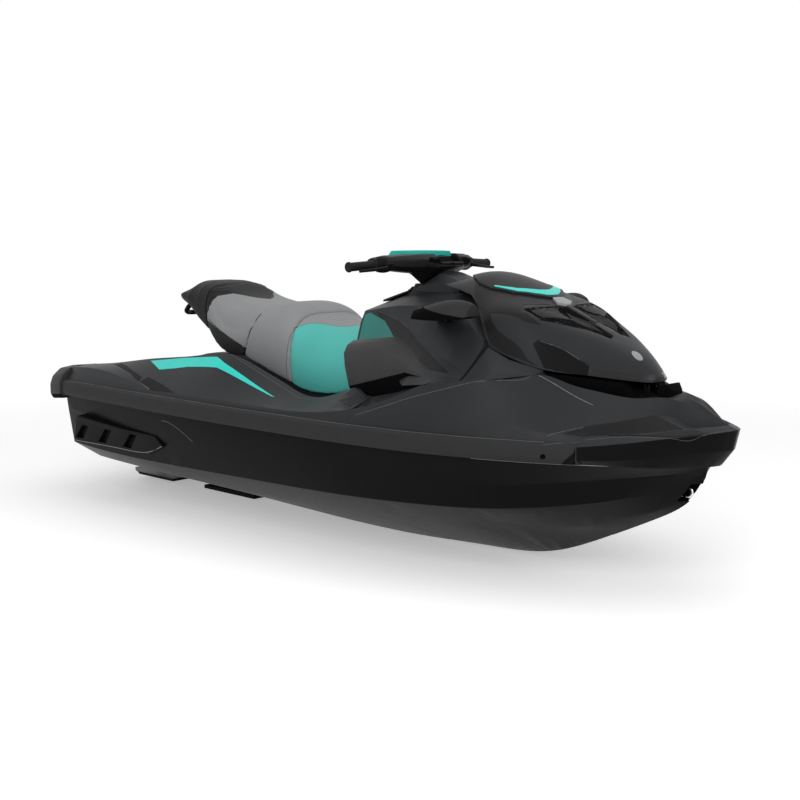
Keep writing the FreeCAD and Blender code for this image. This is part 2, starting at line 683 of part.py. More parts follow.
BR = dim("BucketRadius")
shell = Part.makeCylinder(BR + 7, 216, V(0, -108, 0), V(0, 1, 0))
shell = shell.cut(Part.makeCylinder(BR, 196, V(0, -98, 0), V(0, 1, 0)))
wedge = prism([(0, -120, 0), (-300 * math.cos(math.radians(40)), -120,
                              300 * math.sin(math.radians(40))),
               (-300 * math.cos(math.radians(75)), -120, 300 * math.sin(math.radians(75))),
               (300 * math.cos(math.radians(62)), -120, 300 * math.sin(math.radians(62)))],
              (0, 240, 0))
shell = shell.common(wedge)
for side in (1, -1):
    arm = Part.makeBox(36, 10, 130, V(-18, 98 if side > 0 else -108, -4))
    eye = Part.makeCylinder(20, 10, V(0, 98 if side > 0 else -108, 0), V(0, 1, 0))
    shell = shell.fuse(arm).fuse(eye)
    shell = shell.cut(Part.makeCylinder(dim("PinRadius") + RG, 40, V(0, side * 120, 0),
                                        V(0, -side, 0)))
bucket = one_solid(shell)
bucket.translate(V(NP, 0, PZ))
add("reverse_bucket", bucket)

ride = new_body("RidePlateBody")
plate_fore = "Sizes.PumpFore + 8.7"
pad(ride, "RidePlatePad", outline(ride, "RidePlateOutline", "XY_Plane", [
    (plate_fore, "0.3 - Sizes.TunnelHalf"), (plate_fore, "Sizes.TunnelHalf - 0.3"),
    ("Sizes.PumpAft + 2", "Sizes.TunnelHalf - 0.3"), ("Sizes.PumpAft - 108", "96"),
    ("Sizes.PumpAft - 108", "-96"), ("Sizes.PumpAft + 2", "0.3 - Sizes.TunnelHalf")], "40"),
    "Sizes.RidePlateThick")
keep("ride_plate", ride, x="Sizes.SternShift")

grate = new_body("GrateBody")
pad(grate, "GrateFrame", outline(grate, "GrateOutline", "XY_Plane",
                                 rectangle("-1010", "-650", "-93", "93"), "24"), "16")
slot_wide = "(170 - 4 * Sizes.GrateBar) / 5"
slot = pocket(grate, "GrateSlot", outline(
    grate, "GrateSlotOutline", "XY_Plane",
    rectangle("-992", "-668", "-85", "-85 + " + slot_wide), "30"))
doc.recompute()
row_of(grate, "GrateSlots", slot, "Y_Axis", "4 * (%s + Sizes.GrateBar)" % slot_wide, 5)
hull_tool = tool_object("GrateSeat", hull.translated(V(-STERN_SHIFT, 0, 0)))
keep("intake_grate", lowered("GrateInHull", grate, [hull_tool]), x="Sizes.SternShift")

# Engine
engine = joined("EngineBlocks", [
    block("Crankcase", -480, 230, -150, 150, 150.3, 420),
    block("EngineCover", -420, 150, -90, 90, 420, 520)])
shaft_room = bar_of("ShaftRoom", "Sizes.ShaftRadius + 3", "400", "-700 * Sizes.LengthRatio",
                    "0", "Sizes.PumpHeight", (1, 0, 0))
keep("engine_block", lowered("EngineBlock", engine, [shaft_room]))

# Bow hardware
bow_eye = pipe([(1446, 0, 336), (1478, 0, 336), (1496, 0, 341), (1502, 0, 353),
                (1496, 0, 365), (1478, 0, 370), (1446, 0, 370)], dim("BowEyeRod"))
eye_plate = box(1440.3, 1449, -22, 22, 326, 382)
add("bow_eye", one_solid(bow_eye.fuse(eye_plate).cut(hull)))
stern_eye = pipe([(TRANSOM + 2, 200, 302), (TRANSOM - 16, 200, 304), (TRANSOM - 22, 212, 304),
                  (TRANSOM - 16, 224, 304), (TRANSOM + 2, 224, 302)], 4.5)
pair("stern_eye", one_solid(stern_eye.cut(hull)))

# Mats
swim_mat = facet_loft([
    [(-1620, y, z) for y, z in ((-335, 546.6), (335, 546.6), (335, 554), (-335, 554))],
    [(-780, y, z) for y, z in ((-335, 560.0), (335, 560.0), (335, 567), (-335, 567))]], True)
for side in (1, -1):
    swim_mat = swim_mat.cut(Part.makeCylinder(
        26, 60, V(-1320 * KX, side * dim("CargoBoreSpacing") / 2, 530 * KZ)))
add("swim_mat", one_solid(swim_mat))
mat = new_body("FootwellMatBody")
mat_aft, mat_fore = ["(%s) * Sizes.LengthRatio" % text for text in (
    "Sizes.FootwellAft + 75", "Sizes.FootwellFore - 55")]
mat_in, mat_out = ["(%s) * Sizes.BeamRatio" % text for text in (
    "Sizes.FootwellInner + 14", "Sizes.FootwellOuter - 14")]
mat_top = "Sizes.FootwellFloor * Sizes.HeightRatio + Sizes.MatThick"
pad(mat, "MatPad", outline(mat, "MatOutline", "XY_Plane",
                           rectangle(mat_aft, mat_fore, mat_in, mat_out),
                           "Sizes.FootwellFloor * Sizes.HeightRatio"), "Sizes.MatThick")
groove = pocket(mat, "MatGroove", outline(
    mat, "MatGrooveOutline", "XY_Plane",
    rectangle(mat_aft + " + 14", mat_aft + " + 19", mat_in + " + 10", mat_out + " - 10"),
    mat_top), "1.6")
doc.recompute()
row_of(mat, "MatGrooves", groove, "X_Axis", "39 * Sizes.MatRib", 40)
opposite("footwell_mat_stbd", keep("footwell_mat_port", mat))
for side, tag in ((1, "Port"), (-1, "Stbd")):
    place = ("-1320 * Sizes.LengthRatio", "%d * Sizes.CargoBoreSpacing / 2" % side)
    rim = bar_of("SocketRim" + tag, "24", "14", *place, "552 * Sizes.HeightRatio")
    hole = bar_of("SocketBore" + tag, "Sizes.CargoBoreRadius", "30", *place,
                  "545 * Sizes.HeightRatio")
    keep("cargo_socket_" + tag.lower(), lowered("Socket" + tag, rim, [hole]))

# Seats


def saddle(x, low, wide_low, wide_top, top, lean=0):
    """A seat section with flat foot, soft sides and crown, on a leaning plane."""
    def at(y, z):
        return (x + lean * (top - z) / (top - low), y, z)
    drop = min(32, (top - low) * 0.4)
    side = [(wide_low, low + 1), (wide_low + 4, low + (top - low) * 0.35),
            (wide_top, top - drop), (wide_top * 0.55, top - drop * 0.16)]
    crown = [at(y, z) for y, z in side] + [at(0, top - 2)] + [
        at(-y, z) for y, z in reversed(side)]
    return crown_wire([at(-wide_low, low), at(wide_low, low)], crown)


def saddle_body(rows, ruled=False):
    """A seat lofted through its sections."""
    return Part.makeLoft([saddle(*r) for r in rows], True, ruled)


rear_seat = saddle_body([
    (-462, 686, 232, 184, 900, -72), (-560, 684, 230, 184, 902, -36),
    (-650, 690, 224, 182, 916, -8), (-730, 712, 216, 178, 938, 8),
    (-800, 750, 206, 172, 968, 20), (-850, 788, 198, 168, 984, 28)])
bolster = saddle_body([
    (-460, 686, 232, 184, 900, -72), (-415, 664, 236, 184, 916, -44),
    (-360, 640, 240, 182, 919, -14), (-300, 616, 243, 180, 908, 8),
    (-245, 596, 244, 176, 880, 30)])
front_seat = saddle_body([
    (-243, 596, 246, 178, 878, 30), (-190, 582, 246, 182, 854, 16),
    (-110, 572, 246, 178, 839, 0), (-30, 570, 244, 168, 836, 0),
    (50, 578, 238, 160, 844, 0), (128, 598, 222, 150, 866, 0)])
seat_back = saddle_body([
    (-850.3, 788, 198, 168, 984, 28), (-910, 832, 190, 160, 994, 10),
    (-980, 884, 178, 150, 994, 0), (-1040, 904, 165, 130, 980, 0),
    (-1080, 910, 145, 105, 958, 0), (-1100, 912, 120, 85, 940, 0)], True)
add("driver_bolster", one_solid(bolster.cut(deck)))
add("rear_seat", one_solid(rear_seat.cut(deck)))
add("front_seat", one_solid(front_seat.cut(deck)))
add("seat_back", seat_back)
grab = pipe([(-985, -150, 900), (-1030, -152, 864), (-1072, -120, 846), (-1084, 0, 843),
             (-1072, 120, 846), (-1030, 152, 864), (-985, 150, 900)], 11)
add("grab_handle", one_solid(grab.cut(seat_back)))

# Console
CONSOLE_ROWS = (
    (130, ((222, 690), (224, 750), (190, 860), (165, 905), (60, 930))),
    (270, ((250, 690), (262, 760), (205, 885), (190, 925), (70, 972))),
    (344, ((290, 690), (285, 765), (222, 889), (202, 935), (75, 980))),
    (450, ((360, 690), (322, 762), (264, 855), (215, 940), (80, 985))),
    (540, ((425, 675), (372, 745), (299, 827), (236, 945), (90, 985))),
    (620, ((492, 662), (412, 735), (331, 802), (246, 945), (100, 985))),
    (750, ((488, 698), (440, 722), (380, 765), (272, 900), (100, 960))),
    (862, ((462, 708), (436, 722), (412, 738), (305, 822), (100, 900))))
console = facet_loft([
    [(x, y, z) for y, z in half] + [(x, -y, z) for y, z in reversed(half)]
    for x, half in CONSOLE_ROWS], True)
LEAN = math.radians(dim("ColumnLean"))
AX = V(-math.sin(LEAN), 0, math.cos(LEAN))
BASE = vec((dim("SteerX"), 0, dim("SteerZ")))
SEAM_LINE = [(556, 1016), (640, 1002), (700, 986), (760, 946), (815, 886), (856, 822),
             (866, 700)]


def seam_side(gap, forward):
    """Everything fore or aft of the lid's rear seam, moved by a gap."""
    line = [(x + (gap if forward else -gap), 0, z + (gap if forward else -gap))
            for x, z in SEAM_LINE]
    far = [(2000, 0, 600), (2000, 0, 1300), (400, 0, 1300), (400, 0, line[0][2])]
    near = [(0, 0, 600), (0, 0, line[0][2])]
    tool = prism(line + (far if forward else near), (0, 1400, 0))
    return tool.translated(V(0, -700, 0))


HALF_GAP = dim("PanelGap") / 2
console = console.common(seam_side(HALF_GAP, False))
console_body = console.cut(deck).cut(box(155, 270, -78, 78, 800, 1000))
console_body = console_body.cut(Part.makeCylinder(15 + RG, 140, BASE - AX * 80, AX))
console_body = one_solid(console_body)

front_flank = facet_loft([
    [(870, y, z) for y, z in ((285, 700), (460, 709), (434, 723), (410, 739), (306, 818),
                              (294, 818))],
    [(950, y, z) for y, z in ((278, 706), (432, 719), (420, 727), (398, 742), (306, 792),
                              (294, 792))],
    [(1092, y, z) for y, z in ((262, 712), (324, 742), (321, 744), (317, 747), (290, 752),
                               (278, 752))]], True)


# Column cowl in front of the rider, and the ridge that runs on to the lid
cowl = facet_loft([
    [(x, y, 968) for x, y in ((296, -78), (300, -92), (520, -96), (545, -60), (545, 60),
                              (520, 96), (300, 92), (296, 78))],
    [(x, y, 998 + x * 0.1) for x, y in ((300, -44), (306, -54), (432, -54), (440, -36),
                                        (440, 36), (432, 54), (306, 54), (300, 44))]], True)
ridge = facet_loft([
    [(x, y, 968) for x, y in ((424, -84), (600, -72), (600, 72), (424, 84))],
    [(x, y, 1056 - (x - 434) * 0.31) for x, y in ((434, -38), (592, -56), (592, 56),
                                                  (434, 38))]], True)
cowl = cowl.fuse(ridge).common(seam_side(HALF_GAP, False))

# Storage bin


def bin_sketch(body, name, grow, height):
    """The bin's plan outline, grown by a margin, at a height."""
    half = [(BIN_PLAN[0][0], "- (%s)", BIN_PLAN[0][1], "+ (%s)"),
            (BIN_PLAN[1][0], "+ 0.7 * (%s)", BIN_PLAN[1][1], "+ (%s)"),
            (BIN_PLAN[2][0], "+ (%s)", BIN_PLAN[2][1], "+ (%s)")]
    corners = [("(%s %s) * Sizes.LengthRatio" % (x, more_x % grow),
                "(%s %s) * Sizes.BeamRatio" % (y, more_y % grow))
               for x, more_x, y, more_y in half]
    corners += [(x, "-" + y) for x, y in reversed(corners)]
    return outline(body, name, "XY_Plane", corners, "%s * Sizes.HeightRatio" % height)


storage = new_body("BinBody")
pad(storage, "BinBlock", bin_sketch(storage, "BinOutline", "0", 330),
    "370 * Sizes.HeightRatio")
pad(storage, "BinFlange", bin_sketch(storage, "FlangeOutline", "9.7", 672),
    "28 * Sizes.HeightRatio")
pocket(storage, "BinSpace", bin_sketch(storage, "SpaceOutline", "-Sizes.BinWall", 700),
       "370 * Sizes.HeightRatio - Sizes.BinWall")
keep("storage_bin", storage)

# Front lid
HOOD_ROWS = (
    (540, 205, 960, 985, 205, 1000, 0.96, 1026), (600, 215, 930, 970, 212, 1005, 0.92, 1050),
    (660, 235, 890, 945, 232, 1000, 0.86, 1058), (760, 268, 850, 910, 258, 965, 0.84, 1040),
    (860, 293, 815, 880, 282, 937, 0.90, 1006), (968, 300, 785, 850, 278, 918, 0.88, 958),
    (1080, 282, 756, 820, 240, 890, 0.72, 908), (1165, 238, 744, 797, 196, 862, 0.60, 872),
    (1240, 182, 734, 776, 150, 822, 0.56, 832), (1300, 128, 724, 752, 104, 784, 0.56, 794),
    (1345, 76, 716, 728, 62, 744, 0.6, 752), (1362, 40, 712, 718, 34, 726, 0.6, 730))
lid_room = facet_loft([
    [(x, -w - 15, low - 12), (x, w + 15, low - 12), (x, wm + 19, mid),
     (x, wm * k + 19, high + 12), (x, -wm * k - 19, high + 12), (x, -wm - 19, mid)]
    for x, w, low, mid, wm, high, k, top in HOOD_ROWS[3:]], True)
front_flank = one_solid(front_flank.cut(deck).cut(lid_room))
pair("front_flank", front_flank)
hood = Part.makeLoft([
    crown_wire([(x, -w, low), (x, w, low)],
               [(x, w, low + 1), (x, wm, mid), (x, wm * k, high),
                (x, wm * k * 0.5, top - (top - high) * 0.2), (x, 0, top),
                (x, -wm * k * 0.5, top - (top - high) * 0.2), (x, -wm * k, high),
                (x, -wm, mid), (x, -w, low + 1)])
    for x, w, low, mid, wm, high, k, top in HOOD_ROWS], True, False)
hood = hood.common(seam_side(HALF_GAP, True))
SCOOP_DEPTH = 8.0
inner_rows = [(x, max(w - 16, 12), low, mid, max(wm - 16, 10), high - 12, k, top - 14)
              for x, w, low, mid, wm, high, k, top in HOOD_ROWS[1:-1]]
hollow = Part.makeLoft([
    crown_wire([(x, -w, low - 30), (x, w, low - 30)],
               [(x, w, low - 29), (x, wm, mid), (x, wm * k, high),
                (x, wm * k * 0.5, top - (top - high) * 0.2), (x, 0, top),
                (x, -wm * k * 0.5, top - (top - high) * 0.2), (x, -wm * k, high),
                (x, -wm, mid), (x, -w, low - 29)])
    for x, w, low, mid, wm, high, k, top in inner_rows], True, False)
hood = one_solid(hood.cut(hollow))
lens_tool = prism([(1046, 150, 838), (1062, 150, 846), (1206, 150, 772), (1214, 150, 738),
                   (1120, 150, 752), (1064, 150, 790)], (0, 200, 0))
lens = one_solid(hood.common(lens_tool))
hood = one_solid(hood.cut(lens_tool).cut(mirrored(lens_tool)))
pair("side_vent", lens)
skin = Part.makeLoft([
    crown_wire([(x, -w, low - 40), (x, w, low - 40)],
               [(x, w, low - 39), (x, wm, mid), (x, wm * k, high),
                (x, wm * k * 0.5, top - (top - high) * 0.2), (x, 0, top),
                (x, -wm * k * 0.5, top - (top - high) * 0.2), (x, -wm * k, high),
                (x, -wm, mid), (x, -w, low - 39)])
    for x, w, low, mid, wm, high, k, top in [
        (x, max(w - SCOOP_DEPTH, 12), low, mid, max(wm - SCOOP_DEPTH, 10), high - SCOOP_DEPTH,
         k, top - SCOOP_DEPTH) for x, w, low, mid, wm, high, k, top in HOOD_ROWS]], True, False)
scoop = prism([(945, 212, 700), (975, 120, 700), (992, 26, 700), (1190, 22, 700),
               (1206, 56, 700), (1120, 112, 700), (1010, 204, 700)], (0, 0, 350))
scoop = scoop.cut(skin).cut(prism([(985, 172, 700), (1010, 110, 700), (1120, 60, 700),
                                   (1150, 62, 700), (1110, 96, 700), (1010, 178, 700)],
                                  (0, 0, 350)))
hood = hood.cut(scoop).cut(mirrored(scoop))
HX, HZ = dim("LidHingeX") * KX, dim("LidHingeZ") * KZ
lid_pin = Part.makeCylinder(5, 96, V(HX, -48, HZ), V(0, 1, 0))
lid_arm = box(1327, 1343, -20, 20, 695, 728)
hood = one_solid(hood.fuse(lid_pin).fuse(lid_arm))
add("hood", hood)
for side, tag in ((1, "port"), (-1, "stbd")):
    ear = Part.makeBox(20, 8, 54, V(HX - 10, 30 if side > 0 else -38, HZ - 46))
    ear = ear.cut(Part.makeCylinder(5 + RG, 120, V(HX, -60, HZ), V(0, 1, 0))).cut(deck)
    add("lid_hinge_" + tag, one_solid(ear))

# Black frame that the lid closes on
FRAME_ROWS = ((1094, 274, 742), (1165, 232, 734), (1240, 178, 724), (1300, 124, 714),
              (1334, 104, 668), (1398, 66, 668))


def frame_block(shrink, low, lift):
    """The frame's outline as a solid, shrunk by a margin, from a height up to its top."""
    return facet_loft([
        [(x, -(half - shrink), low), (x, half - shrink, low), (x, half - shrink, top + lift),
         (x, -(half - shrink), top + lift)] for x, half, top in FRAME_ROWS[:]], True)


frame = frame_block(0, 640, 0).cut(
    frame_block(26, 600, 60).common(box(1000, 1350, -400, 400, 500, 900)))
lip = facet_loft([
    [(1396, y, z) for y, z in ((-66, 655), (66, 655), (58, 708), (-58, 708))],
    [(1414, y, z) for y, z in ((-54, 655), (54, 655), (44, 711), (-44, 711))],
    [(1434, y, z) for y, z in ((-36, 655), (36, 655), (28, 690), (-28, 690))]], True)
frame = frame.fuse(lip).cut(deck).cut(bin_block(12, 600, 760))
add("lid_frame", one_solid(frame))

# Glovebox lid
GLOVE_X, GLOVE_Z = 285.0, 984.0
glove_lid = facet_loft([
    [(148, y, z) for y, z in ((-84, 938), (84, 938), (80, 946), (-80, 946))],
    [(278, y, z) for y, z in ((-86, 976.5), (86, 976.5), (82, 985), (-82, 985))]], True)
PIN_GLOVE = 4.0
glove_lid = glove_lid.fuse(rod((GLOVE_X, -82, GLOVE_Z), (GLOVE_X, 82, GLOVE_Z), PIN_GLOVE)).fuse(
    box(272, GLOVE_X, -60, 60, 980, 987))
for side in (1, -1):
    inner, outer = sorted((side * 72, side * 78))
    lug = box(GLOVE_X - 5, GLOVE_X + 5, inner, outer, 962, 991)
    lug = lug.cut(rod((GLOVE_X, -100, GLOVE_Z), (GLOVE_X, 100, GLOVE_Z), PIN_GLOVE + RG))
    console_body = one_solid(console_body.fuse(lug))
    inner, outer = sorted((side * 70, side * 80))
    glove_lid = glove_lid.cut(box(GLOVE_X - 15, GLOVE_X + 15, inner, outer, 955, 1000))
    glove_lid = glove_lid.fuse(rod((GLOVE_X, side * 69.5, GLOVE_Z),
                                   (GLOVE_X, side * 82, GLOVE_Z), PIN_GLOVE))
glove_lid = one_solid(glove_lid)
add("console", console_body)
add("glovebox_lid", one_solid(glove_lid.cut(console_body)))

# Speaker pods, mirrors


def pod_back(y, z):
    """A corner on the pod's rear face, which leans aft towards its top."""
    return (330 - 0.42 * (z - 583) + 0.1 * (y - 400), y, z)


pod = facet_loft([
    [pod_back(y, z) for y, z in ((290, 583), (402, 583), (430, 646), (414, 742), (372, 800),
                                 (290, 806))],
    [(430, y, z) for y, z in ((290, 590), (408, 590), (436, 677), (424, 752), (362, 824),
                              (290, 828))],
    [(608, y, z) for y, z in ((290, 640), (412, 640), (442, 722), (424, 742), (372, 766),
                              (290, 768))],
    [(748, y, z) for y, z in ((290, 670), (430, 670), (452, 706), (446, 710), (420, 713),
                              (290, 714))]], True)
pair("speaker_pod", one_solid(pod.cut(deck).cut(console_body).cut(front_flank)))
cowl_body = one_solid(cowl.cut(console_body).cut(
    Part.makeCylinder(22, 140, BASE - AX * 60, AX)).cut(
    Part.makeCylinder(44, 120, BASE + AX * 42, AX)))
add("column_cowl", cowl_body)
mirror_body = Part.makeLoft([
    crown_wire([(x, w0, low), (x, w1, low)],
               [(x, w1, low + 1), (x, w1 - 6, (low + top) / 2), (x, (w0 + w1) / 2, top),
                (x, w0 + 4, (low + top) / 2), (x, w0, low + 1)])
    for x, w0, w1, low, top in (
        (604, 318, 412, 908, 944), (690, 300, 418, 906, 968), (770, 292, 398, 910, 978),
        (822, 296, 366, 922, 964))], True, False)
mirror_arm = facet_loft([
    [(x, 225, z) for x, z in ((590, 880), (690, 880), (690, 925), (590, 925))],
    [(x, 335, z) for x, z in ((620, 908), (700, 908), (700, 940), (620, 940))]], True)
mirror_body = mirror_body.fuse(mirror_arm)
pair("mirror", one_solid(mirror_body.cut(console_body).cut(
    seam_side(HALF_GAP, True).common(box(400, 1400, -282, 282, 600, 1200)))))

# Steering
bar = pipe([(278, -dim("BarHalf") + 6, 1082), (290, -250, 1090), (318, -120, 1092),
            (330, 0, 1092), (318, 120, 1092), (290, 250, 1090),
            (278, dim("BarHalf") - 6, 1082)], dim("TubeRadius"))
add("handlebar", bar)
neck = Part.makeCylinder(15, 150, BASE - AX * 40, AX)
neck = neck.fuse(Part.makeCylinder(40, 26, BASE + AX * 50, AX))
neck = one_solid(neck.cut(bar))
add("steering_neck", neck)
GRIP_END, GRIP_ROOT = vec((277, dim("BarHalf"), 1081.5)), vec((289, 262, 1089.5))
grip_body = new_body("GripBody")
turned(grip_body, "GripSleeve", outline(grip_body, "GripProfile", "XZ_Plane", [
    ("0", "0"), ("0", "Sizes.GripRadius + 1"), ("3", "Sizes.GripRadius + 3"),
    ("8", "Sizes.GripRadius + 3"), ("11", "Sizes.GripRadius"), ("120", "Sizes.GripRadius"),
    ("123", "Sizes.GripRadius + 5"), ("129", "Sizes.GripRadius + 5"),
    ("133", "Sizes.GripRadius"), ("141", "Sizes.GripRadius"), ("141", "0")]))
grip_body.Placement = FreeCAD.Placement(
    GRIP_END, FreeCAD.Rotation(V(1, 0, 0), GRIP_ROOT - GRIP_END))
doc.recompute()
grip = grip_body.Shape.copy()


def wing_section(y, x0, x1, z0, z1):
    """A lens-shaped section across the bar cover."""
    xm, zm = (x0 + x1) / 2, (z0 + z1) / 2
    return [(x0, y, zm), (x0 + (xm - x0) * 0.35, y, z1 - 4), (xm, y, z1),
            (x1 - (x1 - xm) * 0.3, y, z1 - 5), (x1, y, zm), (x1 - (x1 - xm) * 0.35, y, z0),
            (xm, y, z0), (x0 + (xm - x0) * 0.4, y, z0)]


cover = facet_loft([
    wing_section(-262, 268, 312, 1072, 1106), wing_section(-200, 236, 350, 1068, 1118),
    wing_section(-110, 186, 400, 1066, 1127), wing_section(0, 172, 415, 1064, 1128),
    wing_section(110, 186, 400, 1066, 1127), wing_section(200, 236, 350, 1068, 1118),
    wing_section(262, 268, 312, 1072, 1106)], True)
cover = one_solid(cover.cut(bar).cut(neck).cut(grip).cut(mirrored(grip)))
add("bar_cover", cover)
opposite("grip_stbd", keep("grip_port", lowered(
    "GripOnBar", grip_body, [tool_object("BarInGrip", bar)])))


def pad_sketch(name, corners, height):
    """One outline of the bar pad at a height."""
    half = [("%s * Sizes.LengthRatio" % x, "%s * Sizes.BeamRatio" % y) for x, y in corners]
    half += [(x, "-" + y) for x, y in reversed(half)]
    return outline(pad_body, name, "XY_Plane", half, "%s * Sizes.HeightRatio" % height)


pad_body = new_body("BarPadBody")
across("BarPadLoft", pad_body, [
    pad_sketch("PadFoot", ((176, 60), (200, 112), (350, 118), (392, 64)), 1128.3),
    pad_sketch("PadTop", ((186, 52), (208, 100), (342, 106), (382, 56)), 1138)])
keep("bar_pad", pad_body)

doc.recompute()
os.makedirs("parts", exist_ok=True)
bad = []
for label, feature in PARTS.items():
    if "Invalid" in feature.State or "Error" in feature.State:
        bad.append("bad feature " + label)
    if not feature.Shape.isValid() or len(feature.Shape.Solids) != 1:
        bad.append("bad shape %s valid=%s solids=%d" % (
            label, feature.Shape.isValid(), len(feature.Shape.Solids)))
    feature.Shape.exportStep("parts/%s.step" % label)
    bb = feature.Shape.BoundBox
    print("%-20s %7.0f %7.0f %6.0f %6.0f %6.0f %6.0f  vol %.4f" % (
        label, bb.XMin, bb.XMax, bb.YMin, bb.YMax, bb.ZMin, bb.ZMax,
        feature.Shape.Volume / 1e9))
if bad:
    raise RuntimeError("; ".join(bad))
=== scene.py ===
"""Looks of a jet-driven personal watercraft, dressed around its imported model.

Sizes are in metres in the row frame: X to the bow, Y to port and Z up, with the origin
amidships at the waterline. Outlines and lines drawn on the craft are written in
millimetres, through mm, level, side_on and end_on.
"""

from __future__ import annotations

import logging
import math
from dataclasses import dataclass
from enum import Enum
from functools import lru_cache
from typing import Callable, Sequence

import bmesh
import bpy
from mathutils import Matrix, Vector
from mathutils.bvhtree import BVHTree

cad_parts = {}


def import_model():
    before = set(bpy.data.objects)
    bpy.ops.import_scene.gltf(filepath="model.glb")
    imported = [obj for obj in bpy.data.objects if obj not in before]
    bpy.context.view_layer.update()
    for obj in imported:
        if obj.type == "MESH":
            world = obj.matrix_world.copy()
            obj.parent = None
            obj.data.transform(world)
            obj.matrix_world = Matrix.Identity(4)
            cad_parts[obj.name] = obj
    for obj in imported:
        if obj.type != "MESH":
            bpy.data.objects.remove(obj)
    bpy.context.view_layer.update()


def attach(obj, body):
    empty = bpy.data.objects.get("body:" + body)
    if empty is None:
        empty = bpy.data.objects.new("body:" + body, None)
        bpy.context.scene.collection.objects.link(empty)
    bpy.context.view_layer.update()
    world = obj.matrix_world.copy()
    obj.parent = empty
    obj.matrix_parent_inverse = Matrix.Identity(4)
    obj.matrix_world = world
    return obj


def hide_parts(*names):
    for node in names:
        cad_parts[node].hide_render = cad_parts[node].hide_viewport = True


LOG = logging.getLogger("watercraft")
Colour = tuple[float, float, float]
Point = tuple[float, float, float]
Pair = tuple[float, float]
FaceTest = Callable[[Vector, Vector], bool]

KEEL_Z = -0.26
# How coarsely a finish's colour and roughness vary, as shares of its coarse grain's scale
BLOTCH_SCALE = 0.3
SCUFF_SCALE = 2.3
# How much the roughness varies to each side
SCUFF_DEPTH = 0.06
# Corners nearer to each other than this are merged in a copy of a node
MERGE = 0.00003
# An edge this near to a cut between nodes counts as lying on it
ON_CUT = 0.0004
# Shading stays smooth this many degrees past the angle from which edges are rounded
SMOOTH_MARGIN = 8
# Least angle of a panel's rim, and the angles that panels and round bars are smooth up to
RIM_ANGLE = 50
PANEL_SMOOTH = 40
BAR_SMOOTH = 50
# How far before a place a ray towards a surface starts
RAY_START = 0.5
# How deep a panel's inner face lies under the surface that bears it
SINK = 0.0012
# Directions into the starboard side, along which panels and lines are laid on the craft
DOWN = (0, 0, -1)
INWARD = (0, 1, 0)
SLANTED = (0, 0.6, -0.8)
STEEP = (0, 0.5, -0.85)


def tone(red: int, green: int, blue: int) -> Colour:
    """The linear colour of a screen tone.

    Args:
        red: Its red channel, from 0 to 255.
        green: Its green channel.
        blue: Its blue channel.

    Returns:
        The three channels, linear, from 0 to 1.
    """

    def linear(channel: int) -> float:
        """One channel made linear."""
        share = channel / 255
        return share / 12.92 if share <= 0.04045 else ((share + 0.055) / 1.055) ** 2.4

    return linear(red), linear(green), linear(blue)


class Grain(Enum):
    """Surface textures: fine scale, fine depth, coarse scale, coarse depth (1/m and m)."""

    PAINT = (900.0, 0.00002, 35.0, 0.00025)
    MOULDED = (700.0, 0.00012, 60.0, 0.00020)
    VINYL = (620.0, 0.00022, 22.0, 0.00060)
    CAST = (300.0, 0.00020, 40.0, 0.00050)
    RUBBER = (1100.0, 0.00015, 90.0, 0.00020)
    STEEL = (1500.0, 0.00002, 70.0, 0.00010)
    FOAM = (420.0, 0.00030, 30.0, 0.00040)


@dataclass(frozen=True)
class Finish:
    """One procedural surface finish.

    Attributes:
        name: The material's name.
        colour: Base colour, linear.
        roughness: Middle roughness, varied a little over the surface.
        grain: The bump pattern.
        metallic: 0 or 1.
        shine: Specular level.
        sheen: Weight of a soft sheen, for vinyl and foam.
        spread: Share by which the colour varies.
    """

    name: str
    colour: Colour
    roughness: float
    grain: Grain
    metallic: float = 0.0
    shine: float = 0.35
    sheen: float = 0.0
    spread: float = 0.10

    def material(self) -> bpy.types.Material:
        """The Blender material of this finish, made once."""
        return _material(self)


